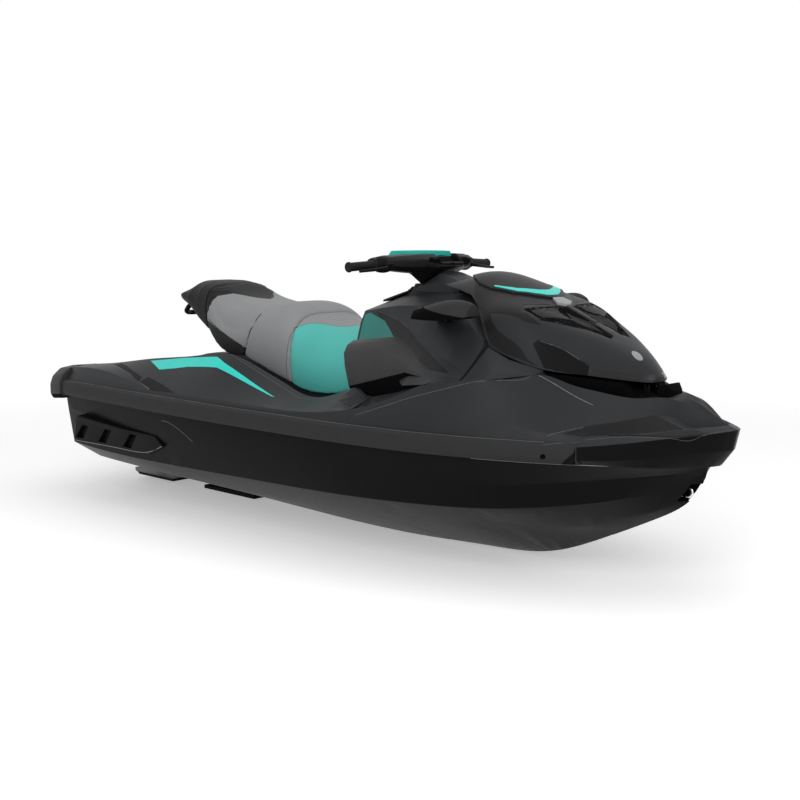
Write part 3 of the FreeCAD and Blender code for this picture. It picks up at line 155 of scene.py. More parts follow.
@lru_cache(maxsize=None)
def _material(finish: Finish) -> bpy.types.Material:
    """Build the node tree of a finish.

    Args:
        finish: What to build.

    Returns:
        The material.
    """
    material = bpy.data.materials.new(finish.name)
    material.use_nodes = True
    nodes, links = material.node_tree.nodes, material.node_tree.links
    shader = nodes["Principled BSDF"]
    shader.inputs["Metallic"].default_value = finish.metallic
    shader.inputs["Specular IOR Level"].default_value = finish.shine
    shader.inputs["Sheen Weight"].default_value = finish.sheen
    shader.inputs["Sheen Roughness"].default_value = 0.5
    place = nodes.new("ShaderNodeTexCoord")
    fine_scale, fine_depth, coarse_scale, coarse_depth = finish.grain.value

    def noise(scale: float, detail: float) -> bpy.types.Node:
        """A noise texture fed by object coordinates.

        Args:
            scale: Its scale.
            detail: Its levels of detail.

        Returns:
            The texture's node.
        """
        node = nodes.new("ShaderNodeTexNoise")
        node.inputs["Scale"].default_value = scale
        node.inputs["Detail"].default_value = detail
        links.new(place.outputs["Object"], node.inputs["Vector"])
        return node

    cloud = noise(coarse_scale * BLOTCH_SCALE, 3.0)
    mix = nodes.new("ShaderNodeMix")
    mix.data_type = "RGBA"
    low = [c * (1 - finish.spread) for c in finish.colour] + [1.0]
    high = [min(1.0, c * (1 + finish.spread)) for c in finish.colour] + [1.0]
    mix.inputs["A"].default_value = low
    mix.inputs["B"].default_value = high
    links.new(cloud.outputs["Fac"], mix.inputs["Factor"])
    links.new(mix.outputs["Result"], shader.inputs["Base Color"])
    scuff = noise(coarse_scale * SCUFF_SCALE, 4.0)
    span = nodes.new("ShaderNodeMapRange")
    span.inputs["To Min"].default_value = max(0.02, finish.roughness - SCUFF_DEPTH)
    span.inputs["To Max"].default_value = min(1.0, finish.roughness + SCUFF_DEPTH)
    links.new(scuff.outputs["Fac"], span.inputs["Value"])
    links.new(span.outputs["Result"], shader.inputs["Roughness"])
    if finish.grain is Grain.VINYL:
        pores = nodes.new("ShaderNodeTexVoronoi")
        pores.inputs["Scale"].default_value = fine_scale
        links.new(place.outputs["Object"], pores.inputs["Vector"])
        fine_out = pores.outputs["Distance"]
    else:
        fine_out = noise(fine_scale, 4.0).outputs["Fac"]
    coarse = nodes.new("ShaderNodeBump")
    coarse.inputs["Distance"].default_value = coarse_depth
    links.new(noise(coarse_scale, 2.0).outputs["Fac"], coarse.inputs["Height"])
    fine = nodes.new("ShaderNodeBump")
    fine.inputs["Distance"].default_value = fine_depth
    links.new(fine_out, fine.inputs["Height"])
    links.new(coarse.outputs["Normal"], fine.inputs["Normal"])
    links.new(fine.outputs["Normal"], shader.inputs["Normal"])
    return material


# The hull's near-black gloss, also put on the ride plate and the intake grate as painted shade
# under the hull
HULL_GLOSS_AND_SHADE = Finish("hull_gloss_and_painted_shade", tone(12, 12, 13), 0.34, Grain.PAINT, shine=0.05)
DECK_SATIN = Finish("deck_satin", tone(40, 41, 43), 0.42, Grain.PAINT, shine=0.10)
RAIL_GREY = Finish("rail_grey", tone(43, 43, 43), 0.55, Grain.MOULDED, shine=0.10)
BLACK_MOULD = Finish("black_moulding", tone(12, 12, 13), 0.50, Grain.MOULDED, shine=0.08)
# Black of grilles and small black parts, also laid as painted shade under the speaker pods, over
# the hood scoops and on the bar cover's hollow
GRILLE_BLACK_AND_SHADE = Finish("grille_black_and_painted_shade", tone(5, 5, 5), 0.75, Grain.MOULDED, shine=0.03)
BAR_SATIN = Finish("bar_satin", tone(20, 20, 22), 0.45, Grain.MOULDED, shine=0.12)
CAST_GREY = Finish("cast_grey", (0.18, 0.185, 0.19), 0.42, Grain.CAST, metallic=1.0)
ENGINE_GREY = Finish("engine_grey", (0.2, 0.2, 0.21), 0.5, Grain.CAST, metallic=1.0)
BRIGHT_STEEL = Finish("bright_steel", (0.72, 0.73, 0.75), 0.16, Grain.STEEL, metallic=1.0)
FOAM_MAT = Finish("foam_mat", tone(40, 41, 43), 0.85, Grain.FOAM, shine=0.15, sheen=0.1)
SEAT_GREY = Finish("seat_grey", tone(139, 140, 141), 0.58, Grain.VINYL, shine=0.15)
SEAT_MINT = Finish("seat_mint", tone(84, 182, 173), 0.55, Grain.VINYL, shine=0.15)
SEAT_BLACK = Finish("seat_black", tone(28, 28, 28), 0.55, Grain.VINYL, shine=0.12)
GRIP_RUBBER = Finish("grip_rubber", tone(14, 14, 14), 0.7, Grain.RUBBER, shine=0.2)
STRIPE_MINT = Finish("stripe_mint", tone(26, 206, 193), 0.35, Grain.PAINT, shine=0.3)
SILVER_GREY = Finish("silver_grey", tone(140, 140, 142), 0.4, Grain.PAINT, shine=0.4)
BUMPER_BLACK = Finish("bumper_black", tone(10, 10, 11), 0.34, Grain.MOULDED, shine=0.06)
KNEE_MINT = Finish("knee_mint", tone(52, 119, 112), 0.5, Grain.VINYL, shine=0.12)
PAD_MINT = Finish("pad_mint", tone(44, 170, 157), 0.8, Grain.VINYL, shine=0.0)
# Dark of the side vent lenses, also laid round them as painted shade of their recesses
LENS_DARK_AND_SHADE = Finish("lens_dark_and_painted_shade", tone(14, 14, 15), 0.3, Grain.PAINT, shine=0.08)
POD_GREY = Finish("pod_grey", tone(54, 54, 55), 0.5, Grain.MOULDED, shine=0.10)
QUAD_DARK = Finish("quad_dark", tone(26, 26, 27), 0.6, Grain.MOULDED, shine=0.08)
# Light tone of thin lines along chines and creases: a painted highlight
HIGHLIGHT_LINE = Finish("painted_highlight_line", tone(120, 120, 120), 0.5, Grain.PAINT, shine=0.2)
PIPING = Finish("piping", tone(16, 16, 17), 0.6, Grain.VINYL, shine=0.1)
SEAM_GREY = Finish("seam_grey", tone(66, 67, 68), 0.65, Grain.VINYL, shine=0.1)
# Dark of the visor, also laid as painted shade over the hood's aft shoulders and on a console
# facet
VISOR_DARK_AND_SHADE = Finish("visor_dark_and_painted_shade", tone(24, 23, 23), 0.42, Grain.PAINT, shine=0.10)
FACET_DARK = Finish("facet_dark", tone(30, 30, 31), 0.45, Grain.PAINT, shine=0.08)
# Light tone of thin lines along rims and creases: a painted edge highlight
EDGE_HIGHLIGHT = Finish("painted_edge_highlight", tone(82, 82, 83), 0.5, Grain.PAINT, shine=0.2)
TRIM_GLOSS = Finish("trim_gloss", tone(25, 25, 26), 0.22, Grain.PAINT, shine=0.25)
MINT_PIPING = Finish("mint_piping", tone(40, 110, 104), 0.6, Grain.VINYL, shine=0.1)


def mm(*places: Point) -> tuple[Point, ...]:
    """Places given in millimetres, made metres."""
    return tuple(tuple(value / 1000 for value in place) for place in places)


def level(z: float, *pairs: Pair) -> tuple[Point, ...]:
    """Places at one height from pairs along X and Y, all in millimetres."""
    return mm(*((x, y, z) for x, y in pairs))


def side_on(y: float, *pairs: Pair) -> tuple[Point, ...]:
    """Places at one distance from the centreplane from pairs along X and Z, in millimetres."""
    return mm(*((x, y, z) for x, z in pairs))


def end_on(x: float, *pairs: Pair) -> tuple[Point, ...]:
    """Places at one station from pairs along Y and Z, all in millimetres."""
    return mm(*((x, y, z) for y, z in pairs))


def disc(radius: float, count: int, middle: Point, upright: bool = False
         ) -> tuple[Point, ...]:
    """A round outline, in metres.

    Args:
        radius: Its radius.
        count: How many points it has, an even number.
        middle: Its centre.
        upright: Whether it stands along X and Z instead of lying along X and Y.

    Returns:
        Its points.
    """
    x, y, z = middle
    turns = [k * math.pi / (count // 2) for k in range(count)]
    if upright:
        return tuple((x + radius * math.cos(a), y, z + radius * math.sin(a)) for a in turns)
    return tuple((x + radius * math.cos(a), y + radius * math.sin(a), z) for a in turns)


def sides(paired: bool) -> list[tuple[int, str]]:
    """Factor on Y and name ending of each copy: the starboard one, then its port mirror."""
    return [(1, "_stbd"), (-1, "_port")] if paired else [(1, "")]


def to_side(place: Sequence[float], side: int) -> Vector:
    """A place or a direction, mirrored to port where the side is -1."""
    return Vector((place[0], place[1] * side, place[2]))


def pick(piece: bpy.types.Object) -> None:
    """Select only this piece and make it active.

    Args:
        piece: The object to select.
    """
    for item in bpy.context.selected_objects:
        item.select_set(False)
    piece.select_set(True)
    bpy.context.view_layer.objects.active = piece


def modify(piece: bpy.types.Object, kind: str, **settings: object) -> None:
    """Add a modifier to a piece and apply it.

    Args:
        piece: The mesh object.
        kind: Blender's modifier type.
        **settings: Its attributes.
    """
    pick(piece)
    modifier = piece.modifiers.new(kind.lower(), kind)
    for key, value in settings.items():
        setattr(modifier, key, value)
    bpy.ops.object.modifier_apply(modifier=modifier.name)


def smooth(piece: bpy.types.Object, degrees: float) -> None:
    """Shade a piece smooth except over edges sharper than an angle."""
    pick(piece)
    bpy.ops.object.shade_smooth_by_angle(angle=math.radians(degrees))


def cad_copy(node: str, name: str, flat: float = 0.6) -> bpy.types.Object:
    """A merged copy of a frame node, with flat runs of triangles joined.

    Args:
        node: The frame node.
        name: Name of the new piece.
        flat: Angle in degrees under which neighbouring faces are joined.

    Returns:
        The new piece.
    """
    piece = bpy.data.objects.new(name, bpy.data.objects[node].data.copy())
    bpy.context.scene.collection.objects.link(piece)
    piece.data.materials.clear()
    pick(piece)
    bpy.ops.mesh.customdata_custom_splitnormals_clear()
    bpy.ops.object.mode_set(mode="EDIT")
    bpy.ops.mesh.select_all(action="SELECT")
    bpy.ops.mesh.remove_doubles(threshold=MERGE)
    if flat > 0:
        bpy.ops.mesh.dissolve_limited(angle_limit=math.radians(flat))
    bpy.ops.object.mode_set(mode="OBJECT")
    return piece


def finish_piece(piece: bpy.types.Object, finish: Finish, body: str,
                 replaces: Sequence[str] = (), second: Finish | None = None
                 ) -> bpy.types.Object:
    """Give a piece its finish and body, and hide the nodes it stands for.

    Args:
        piece: The piece, in place.
        finish: Its surface finish.
        body: The body it rides on.
        replaces: Frame nodes that it stands for.
        second: Finish of the faces already marked with index 1.

    Returns:
        The same piece.
    """
    marks = [polygon.material_index for polygon in piece.data.polygons]
    piece.data.materials.clear()
    piece.data.materials.append(finish.material())
    if second is not None:
        piece.data.materials.append(second.material())
        piece.data.polygons.foreach_set("material_index", marks)
    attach(piece, body)
    if replaces:
        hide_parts(*replaces)
    LOG.info("%s: %d faces on %s", piece.name, len(piece.data.polygons), body)
    return piece


def mesh_piece(name: str, mesh: bmesh.types.BMesh) -> bpy.types.Object:
    """A new object that owns a finished bmesh, with its normals turned outwards.

    Args:
        name: The piece's name.
        mesh: Its mesh, which is freed.

    Returns:
        The piece.
    """
    bmesh.ops.recalc_face_normals(mesh, faces=mesh.faces)
    data = bpy.data.meshes.new(name)
    mesh.to_mesh(data)
    mesh.free()
    piece = bpy.data.objects.new(name, data)
    bpy.context.scene.collection.objects.link(piece)
    return piece


def mark_faces(piece: bpy.types.Object, test: FaceTest | None) -> None:
    """Mark the faces that a test picks with index 1, for a second finish.

    Args:
        piece: The mesh object.
        test: Tells by a face's centre and normal whether it is marked, or None.
    """
    if test is not None:
        for polygon in piece.data.polygons:
            polygon.material_index = int(test(polygon.center, polygon.normal))


def round_edges(piece: bpy.types.Object, radius: float, angle: float,
                seams: Sequence[float] = (), segments: int = 3) -> None:
    """Round the edges sharper than an angle, but not those on the cuts between nodes.

    Args:
        piece: The mesh object.
        radius: Width of the rounding.
        angle: Least angle, in degrees.
        seams: Places along X where the node is cut from its neighbour.
        segments: Steps of the rounding.
    """
    mesh = bmesh.new()
    mesh.from_mesh(piece.data)
    weight = (mesh.edges.layers.float.get("bevel_weight_edge")
              or mesh.edges.layers.float.new("bevel_weight_edge"))
    for edge in mesh.edges:
        if len(edge.link_faces) != 2 or edge.calc_face_angle(0.0) < math.radians(angle):
            continue
        on_cut = any(all(abs(vert.co.x - x) < ON_CUT for vert in edge.verts) for x in seams)
        edge[weight] = 0.0 if on_cut else 1.0
    mesh.to_mesh(piece.data)
    mesh.free()
    modify(piece, "BEVEL", width=radius, segments=segments, limit_method="WEIGHT",
           harden_normals=False)


# Places along X where the hull and the deck are cut into nodes
HULL_CUTS = (-0.640, 0.430, 0.875, 1.195)
DECK_CUTS = (-0.640, 0.430)


@dataclass(frozen=True)
class Moulding:
    """A rigid node shown as a copy with rounded edges.

    Attributes:
        node: The frame node.
        finish: Its surface finish.
        slot: The record's material slot; not used.
        body: The body it rides on.
        radius: Edge rounding in metres, 0 for none.
        angle: Edges sharper than this are rounded, in degrees.
        seams: Cuts along X that stay sharp.
        second: Finish of the faces that `under` picks.
        under: Test on a face's centre and normal for the second finish.
        reshape: Where each corner of the copy goes, for a form that the node lacks.
    """

    node: str
    finish: Finish
    slot: str
    body: str = "craft"
    radius: float = 0.003
    angle: float = 28.0
    seams: tuple[float, ...] = ()
    second: Finish | None = None
    under: FaceTest | None = None
    reshape: Callable[[Vector], Vector] | None = None

    def build(self) -> bpy.types.Object:
        """Make the copy, round it and dress it.

        Returns:
            The piece.
        """
        piece = cad_copy(self.node, self.node + "_shell")
        if self.reshape is not None:
            for vertex in piece.data.vertices:
                vertex.co = self.reshape(vertex.co)
        if self.radius > 0:
            round_edges(piece, self.radius, self.angle, self.seams)
        smooth(piece, self.angle + SMOOTH_MARGIN)
        mark_faces(piece, self.under)
        return finish_piece(piece, self.finish, self.body, [self.node], self.second)


def both(stem: str, *args: object, **settings: object) -> list[Moulding]:
    """The same moulding for the port and starboard nodes."""
    return [Moulding(stem + side, *args, **settings) for side in ("_port", "_stbd")]


def ramp(low: float, high: float, value: float) -> float:
    """A smooth step from 0 at `low` to 1 at `high`."""
    share = min(1.0, max(0.0, (value - low) / (high - low)))
    return share * share * (3 - 2 * share)


# The deck's crest beside a speaker pod: how far it is drawn down, where that starts and ends
# along X, where it ends across, and the height over which it applies
POD_DROP = 0.050
POD_START = (0.345, 0.420)
POD_END = (0.500, 0.760)
POD_OUTER = (0.480, 0.585)
CREST_FOOT = 0.30
# The bar pad: how far its front ends are drawn back, over which breadth and length, and how
# deep its foot is sunk, below which height
PAD_BACK = 0.055
PAD_BREADTH = (0.040, 0.118)
PAD_LENGTH = (0.250, 0.392)
PAD_SINK = 0.012
PAD_FOOT = 0.872


def beside_pod(place: Vector) -> Vector:
    """A corner of the deck, drawn down where the speaker pod hangs over its crest.

    Args:
        place: The corner.

    Returns:
        Its new place, which is the old one away from the pod and below the crest.
    """
    along = ramp(*POD_START, place.x) * (1 - ramp(*POD_END, place.x))
    across = 1 - ramp(*POD_OUTER, abs(place.y))
    if place.z < CREST_FOOT:
        return place
    return place - Vector((0, 0, POD_DROP * along * across))


def seated(place: Vector) -> Vector:
    """A corner of the bar pad: its foot sunk into the cover, its front ends drawn back."""
    back = PAD_BACK * ramp(*PAD_BREADTH, abs(place.y)) * ramp(*PAD_LENGTH, place.x)
    return place - Vector((back, 0, PAD_SINK if place.z < PAD_FOOT else 0.0))


def back_or_under(centre: Vector, normal: Vector) -> bool:
    """Whether a face of a mirror looks aft or down."""
    return normal.x < -0.35 or normal.z < -0.06


def upper_band(centre: Vector, normal: Vector) -> bool:
    """Whether a face of the bow bumper belongs to its deck-coloured top."""
    return normal.z > 0.5


def faces_down(centre: Vector, normal: Vector) -> bool:
    """Whether a face looks down."""
    return normal.z < -0.3


def pod_grille_and_shade(centre: Vector, normal: Vector) -> bool:
    """Whether a face under the pod's outer crease is black: partly the speaker grille, partly
    painted shade of the pod's underside.
    """
    return normal.z < -0.05 and abs(normal.y) > 0.3


MOULDINGS = [
    *[Moulding("hull_" + part, HULL_GLOSS_AND_SHADE, "hull_gelcoat", radius=0.003, angle=12,
               seams=HULL_CUTS) for part in ("stern", "middle", "fore", "bin", "bow")],
    Moulding("deck_stern", DECK_SATIN, "deck_gelcoat", radius=0.0025, angle=7,
             seams=DECK_CUTS),
    Moulding("deck_bow", DECK_SATIN, "deck_gelcoat", radius=0.0025, angle=7,
             seams=DECK_CUTS, reshape=beside_pod),
    Moulding("seat_pedestal", DECK_SATIN, "deck_gelcoat", radius=0.003, seams=DECK_CUTS),
    *both("gunwale", DECK_SATIN, "deck_gelcoat", radius=0.0025, angle=7, seams=DECK_CUTS,
          reshape=beside_pod),
    *both("rub_rail", RAIL_GREY, "trim_grey", radius=0.003, angle=14),
    Moulding("bow_bumper", BUMPER_BLACK, "trim_grey", radius=0.004, angle=12,
             second=DECK_SATIN, under=upper_band),
    *both("sponson", BLACK_MOULD, "black_plastic", radius=0.003),
    Moulding("console", DECK_SATIN, "deck_gelcoat", radius=0.003, angle=7),
    *both("front_flank", DECK_SATIN, "deck_gelcoat", radius=0.003, angle=12),
    Moulding("column_cowl", DECK_SATIN, "deck_gelcoat", radius=0.003, angle=12),
    Moulding("lid_frame", GRILLE_BLACK_AND_SHADE, "black_plastic", radius=0.003, angle=20),
    *both("mirror", RAIL_GREY, "black_plastic", radius=0.004, angle=20,
          second=BLACK_MOULD, under=back_or_under),
    Moulding("glovebox_lid", BLACK_MOULD, "black_plastic", "glovebox", radius=0.0025),
    Moulding("hood", DECK_SATIN, "deck_gelcoat", "front_lid", radius=0.0025, angle=24),
    *both("side_vent", LENS_DARK_AND_SHADE, "black_plastic", body="front_lid", radius=0.002),
    Moulding("seat_back", SEAT_BLACK, "seat_black", radius=0.010, angle=14),
    Moulding("bar_cover", BAR_SATIN, "deck_gelcoat", "steering", radius=0.005, angle=12),
    Moulding("bar_pad", PAD_MINT, "black_plastic", "steering", radius=0.004,
             reshape=seated),
]


class Skin:
    """Finished pieces as one surface that rays can meet."""

    def __init__(self, *names: str) -> None:
        """Gather the meshes of the named pieces.

        Args:
            *names: The pieces.
        """
        points: list[Vector] = []
        faces: list[list[int]] = []
        for name in names:
            data = bpy.data.objects[name].data
            base = len(points)
            points += [vertex.co.copy() for vertex in data.vertices]
            faces += [[base + i for i in polygon.vertices] for polygon in data.polygons]
        self.tree = BVHTree.FromPolygons(points, faces)

    def meet(self, point: Vector, ray: Vector) -> Vector:
        """Where a ray through a point first meets the surface, or the nearest place."""
        hit = self.tree.ray_cast(point - ray * RAY_START, ray)[0]
        return hit if hit is not None else self.tree.find_nearest(point)[0]

    def lean(self, point: Vector) -> Vector:
        """The surface's outward direction nearest to a point."""
        return self.tree.find_nearest(point)[1]


def flowing(points: Sequence[Point], step: float = 0.012) -> list[Vector]:
    """A smooth line through a few points, sampled at about one step.

    Args:
        points: Places on the line.
        step: Distance between samples.

    Returns:
        The samples.
    """
    knots = [Vector(point) for point in points]
    line: list[Vector] = []
    for k, (a, b) in enumerate(zip(knots, knots[1:])):
        before = knots[k - 1] if k else a
        after = knots[k + 2] if k + 2 < len(knots) else b
        pieces = max(1, round((b - a).length / step))
        for j in range(pieces):
            t = j / pieces
            line.append(0.5 * ((2 * a) + (b - before) * t
                               + (2 * before - 5 * a + 4 * b - after) * t * t
                               + (3 * a - before - 3 * b + after) * t * t * t))
    return [*line, knots[-1]]


@dataclass(frozen=True)
class Patch:
    """A thin panel laid on a surface, from an outline pushed along one direction.

    Attributes:
        name: The piece's name; a mirrored one adds its side.
        onto: Names of the pieces it lies on, with * for their side.
        corners: The outline, starboard side for a mirrored patch.
        ray: Direction into the surface.
        finish: Its finish.
        body: The body it rides on.
        slot: The record's material slot; not used.
        thick: How far it stands out.
        paired: Whether a mirror lies on the port side.
        step: Size of its cells.
        edge: Rounding of its rim.
        bridge: Width of the channels in the surface that it spans.
    """

    name: str
    onto: tuple[str, ...]
    corners: tuple[Point, ...]
    ray: Point
    finish: Finish
    body: str = "craft"
    slot: str = "deck_gelcoat"
    thick: float = 0.0008
    paired: bool = True
    step: float = 0.014
    edge: float = 0.0
    bridge: float = 0.0

    def build(self) -> None:
        """Make the patch and, where it is paired, its mirror."""
        for side, tag in sides(self.paired):
            corners = [to_side(corner, side) for corner in self.corners]
            skin = Skin(*[name.replace("*", tag) for name in self.onto])
            piece = self.sheet(self.name + tag, skin, corners,
                               to_side(self.ray, side).normalized())
            if self.edge > 0:
                round_edges(piece, self.edge, RIM_ANGLE, segments=2)
            smooth(piece, PANEL_SMOOTH)
            finish_piece(piece, self.finish, self.body)

    def sheet(self, name: str, skin: Skin, corners: Sequence[Vector], ray: Vector
              ) -> bpy.types.Object:
        """Cut the outline into cells, drop them on the surface and give them a thickness.

        Args:
            name: The piece's name.
            skin: The surface that it lies on.
            corners: Its outline.
            ray: Direction into the surface.

        Returns:
            The piece.
        """
        across = (Vector((1, 0, 0)) - ray * ray.x).normalized()
        if across.length < 0.5:
            across = Vector((0, 1, 0))
        along = ray.cross(across).normalized()
        depth = sum(corner.dot(ray) for corner in corners) / len(corners)
        flat = [across * corner.dot(across) + along * corner.dot(along) + ray * depth
                for corner in corners]
        mesh = bmesh.new()
        mesh.faces.new([mesh.verts.new(point) for point in flat])
        bmesh.ops.triangulate(mesh, faces=mesh.faces)
        for axis in (across, along):
            low = min(point.dot(axis) for point in flat)
            high = max(point.dot(axis) for point in flat)
            for k in range(1, math.ceil((high - low) / self.step)):
                bmesh.ops.bisect_plane(
                    mesh, geom=[*mesh.verts, *mesh.edges, *mesh.faces], dist=1e-6,
                    plane_co=axis * (low + k * self.step), plane_no=axis)
        for vertex in mesh.verts:
            vertex.co = self.drop(skin, vertex.co, ray, across, along) + ray * SINK
        grown = bmesh.ops.extrude_face_region(mesh, geom=list(mesh.faces))["geom"]
        lift = -ray * (self.thick + SINK)
        for vertex in (item for item in grown if isinstance(item, bmesh.types.BMVert)):
            vertex.co += lift
        return mesh_piece(name, mesh)

    def drop(self, skin: Skin, point: Vector, ray: Vector, across: Vector, along: Vector
             ) -> Vector:
        """Where a corner lands: on the surface, or on the span over a narrow channel.

        Args:
            skin: The surface.
            point: The corner.
            ray: Direction into the surface.
            across: One direction square to the ray.
            along: The other.

        Returns:
            The corner's place.
        """
        place = skin.meet(point, ray)
        if self.bridge > 0:
            for way in (across, along, across + along, across - along):
                pair = [skin.meet(point + way * reach, ray)
                        for reach in (self.bridge, -self.bridge)]
                middle = (pair[0] + pair[1]) / 2
                if middle.dot(ray) < place.dot(ray):
                    place = point + ray * (middle - point).dot(ray)
        return place


@dataclass(frozen=True)
class Loft:
    """A moulding skinned over a row of like outlines.

    Attributes:
        name: The piece's name; a mirrored one adds its side.
        rings: The outlines, of one count of points; the starboard ones for a pair.
        finish: Its finish.
        body: The body it rides on.
        slot: The record's material slot; not used.
        halved: Whether an outline is its starboard half, closed by the port one.
        paired: Whether a mirror lies on the port side.
        radius: Edge rounding.
        angle: Edges sharper than this are rounded, in degrees.
        second: Finish of the faces that `under` picks.
        under: Test on a face's centre and normal for the second finish.
        replaces: The frame node that it stands for, without its side.
    """

    name: str
    rings: tuple[tuple[Point, ...], ...]
    finish: Finish
    body: str = "craft"
    slot: str = "black_plastic"
    halved: bool = False
    paired: bool = True
    radius: float = 0.0
    angle: float = 20.0
    second: Finish | None = None
    under: FaceTest | None = None
    replaces: str = ""

    def build(self) -> None:
        """Make the moulding and, where it is paired, its mirror."""
        for side, tag in sides(self.paired):
            piece = self.skin(self.name + tag, side)
            if self.radius > 0:
                round_edges(piece, self.radius, self.angle, segments=4)
            smooth(piece, self.angle + SMOOTH_MARGIN)
            mark_faces(piece, self.under)
            nodes = [self.replaces + tag] if self.replaces else []
            finish_piece(piece, self.finish, self.body, nodes, self.second)

    def skin(self, name: str, side: int) -> bpy.types.Object:
        """The closed mesh over the outlines on one side.

        Args:
            name: The piece's name.
            side: 1 for the outlines as they are, -1 for their mirror.

        Returns:
            The piece.
        """
        mesh = bmesh.new()
        rows = []
        for ring in self.rings:
            places = [(x, y * side, z) for x, y, z in ring]
            if self.halved:
                places += [(x, -y, z) for x, y, z in reversed(places) if abs(y) > 1e-6]
            rows.append([mesh.verts.new(place) for place in places])
        count = len(rows[0])
        for low, high in zip(rows, rows[1:]):
            for k in range(count):
                j = (k + 1) % count
                mesh.faces.new((low[k], low[j], high[j], high[k]))
        mesh.faces.new(rows[0])
        mesh.faces.new(rows[-1])
        return mesh_piece(name, mesh)


@dataclass(frozen=True)
class Cord:
    """A round line laid on a surface: a seam, a piping or a painted highlight line.

    Attributes:
        name: The piece's name; a mirrored one adds its side.
        onto: Names of the pieces it lies on, with * for their side.
        points: Places on the line, starboard side for a mirrored one.
        ray: Direction into the surface.
        radius: Its radius.
        finish: Its finish.
        body: The body it rides on.
        slot: The record's material slot; not used.
        proud: Share of the radius by which the line stands out of the surface.
        paired: Whether a mirror lies on the port side.
    """

    name: str
    onto: tuple[str, ...]
    points: tuple[Point, ...]
    ray: Point
    radius: float
    finish: Finish
    body: str = "craft"
    slot: str = "deck_gelcoat"
    proud: float = 0.2
    paired: bool = True

    def build(self) -> None:
        """Make the line and, where it is paired, its mirror."""
        for side, tag in sides(self.paired):
            ray = to_side(self.ray, side).normalized()
            skin = Skin(*[name.replace("*", tag) for name in self.onto])
            sunk = self.radius * (1 - self.proud)
            line = [skin.meet(to_side(point, side), ray)
                    for point in flowing(self.points)]
            line = [point - skin.lean(point) * sunk for point in line]
            piece = tube(self.name + tag, line, self.radius)
            finish_piece(piece, self.finish, self.body)


def tube(name: str, line: Sequence[Vector], radius: float | Sequence[float],
         closed: bool = False) -> bpy.types.Object:
    """A round bar along a line, as a smooth closed mesh.

    Args:
        name: The piece's name.
        line: Centres of its rings.
        radius: One radius, or one for each ring.
        closed: Whether the last ring joins the first.

    Returns:
        The piece.
    """
    curve = bpy.data.curves.new(name, "CURVE")
    curve.dimensions = "3D"
    curve.bevel_depth, curve.bevel_resolution = 1.0, 3
    curve.use_fill_caps = True
    spline = curve.splines.new("POLY")
    spline.points.add(len(line) - 1)
    for k, (knot, place) in enumerate(zip(spline.points, line)):
        knot.co = (*place, 1.0)
        knot.radius = radius if isinstance(radius, float) else radius[k]
    spline.use_cyclic_u = closed
    piece = bpy.data.objects.new(name, curve)
    bpy.context.scene.collection.objects.link(piece)
    pick(piece)
    bpy.ops.object.convert(target="MESH")
    piece = bpy.context.object
    smooth(piece, BAR_SMOOTH)
    return piece


@dataclass(frozen=True)
class Cushion:
    """One padded part of the saddle, swollen by a short cloth run.

    Attributes:
        node: The frame node.
        finish: Its vinyl.
        slot: The record's material slot; not used.
        ends: The places along X where it meets its neighbours and must not grow.
        fill: How tight it is; not used.
        second: Vinyl of the faces that `other` picks.
        other: Test on a face's centre and normal for the second vinyl.
        voxel: Size of its cells.
        cap: The most that a place on it may swell.
        pressure: Pressure of the cloth run.
        frames: Length of the cloth run.
        held: Width of the strip that is held at each end.
    """

    node: str
    finish: Finish
    slot: str
    ends: tuple[float, ...]
    fill: float = 0.85
    second: Finish | None = None
    other: FaceTest | None = None
    voxel: float = 0.006
    cap: float = 0.006
    pressure: float = 4.0
    frames: int = 20
    held: float = 0.012

    def build(self) -> None:
        piece = cad_copy(self.node, self.node + "_pad", flat=0.0)
        modify(piece, "REMESH", mode="VOXEL", voxel_size=self.voxel, use_smooth_shade=True)
        modify(piece, "SMOOTH", factor=0.5, iterations=6)
        self.swell(piece)
        for polygon in piece.data.polygons:
            polygon.use_smooth = True
        mark_faces(piece, self.other)
        finish_piece(piece, self.finish, "craft", [self.node], self.second)

    def swell(self, piece: bpy.types.Object) -> None:
        """Blow the cushion up a little between its fixed foot and ends.

        Args:
            piece: The cushion, at rest.
        """
        rest = [vertex.co.copy() for vertex in piece.data.vertices]
        pins = piece.vertex_groups.new(name="fixed")
        for vertex in piece.data.vertices:
            near = min(abs(vertex.co.x - x) for x in self.ends)
            if near < self.held or vertex.normal.z < -0.5:
                pins.add([vertex.index], 1.0, "REPLACE")
        pick(piece)
        cloth = piece.modifiers.new("fill", "CLOTH")
        cloth.settings.use_pressure = True
        cloth.settings.uniform_pressure_force = self.pressure
        cloth.settings.effector_weights.gravity = 0.0
        cloth.settings.vertex_group_mass = "fixed"
        cloth.settings.quality = 4
        cloth.collision_settings.use_collision = False
        cloth.point_cache.frame_start, cloth.point_cache.frame_end = 1, self.frames
        scene = bpy.context.scene
        for frame in range(1, self.frames + 1):
            scene.frame_set(frame)
        bpy.ops.object.modifier_apply(modifier=cloth.name)
        scene.frame_set(1)
        for vertex, start in zip(piece.data.vertices, rest):
            shift = vertex.co - start
            if shift.length > self.cap:
                vertex.co = start + shift.normalized() * self.cap
        piece.vertex_groups.clear()
        modify(piece, "SMOOTH", factor=0.5, iterations=3)


# Half breadths along X of the seat's grey tongue and of the rear seat's black hump, in metres
TONGUE = ((-0.244, 0.215), (-0.221, 0.190), (-0.190, 0.148), (-0.150, 0.124), (-0.090, 0.114),
          (-0.030, 0.100), (0.010, 0.070), (0.028, 0.030), (0.032, 0.0))
HUMP = ((-0.806, 0.205), (-0.800, 0.186), (-0.773, 0.145), (-0.715, 0.090), (-0.660, 0.045),
        (-0.630, 0.0))
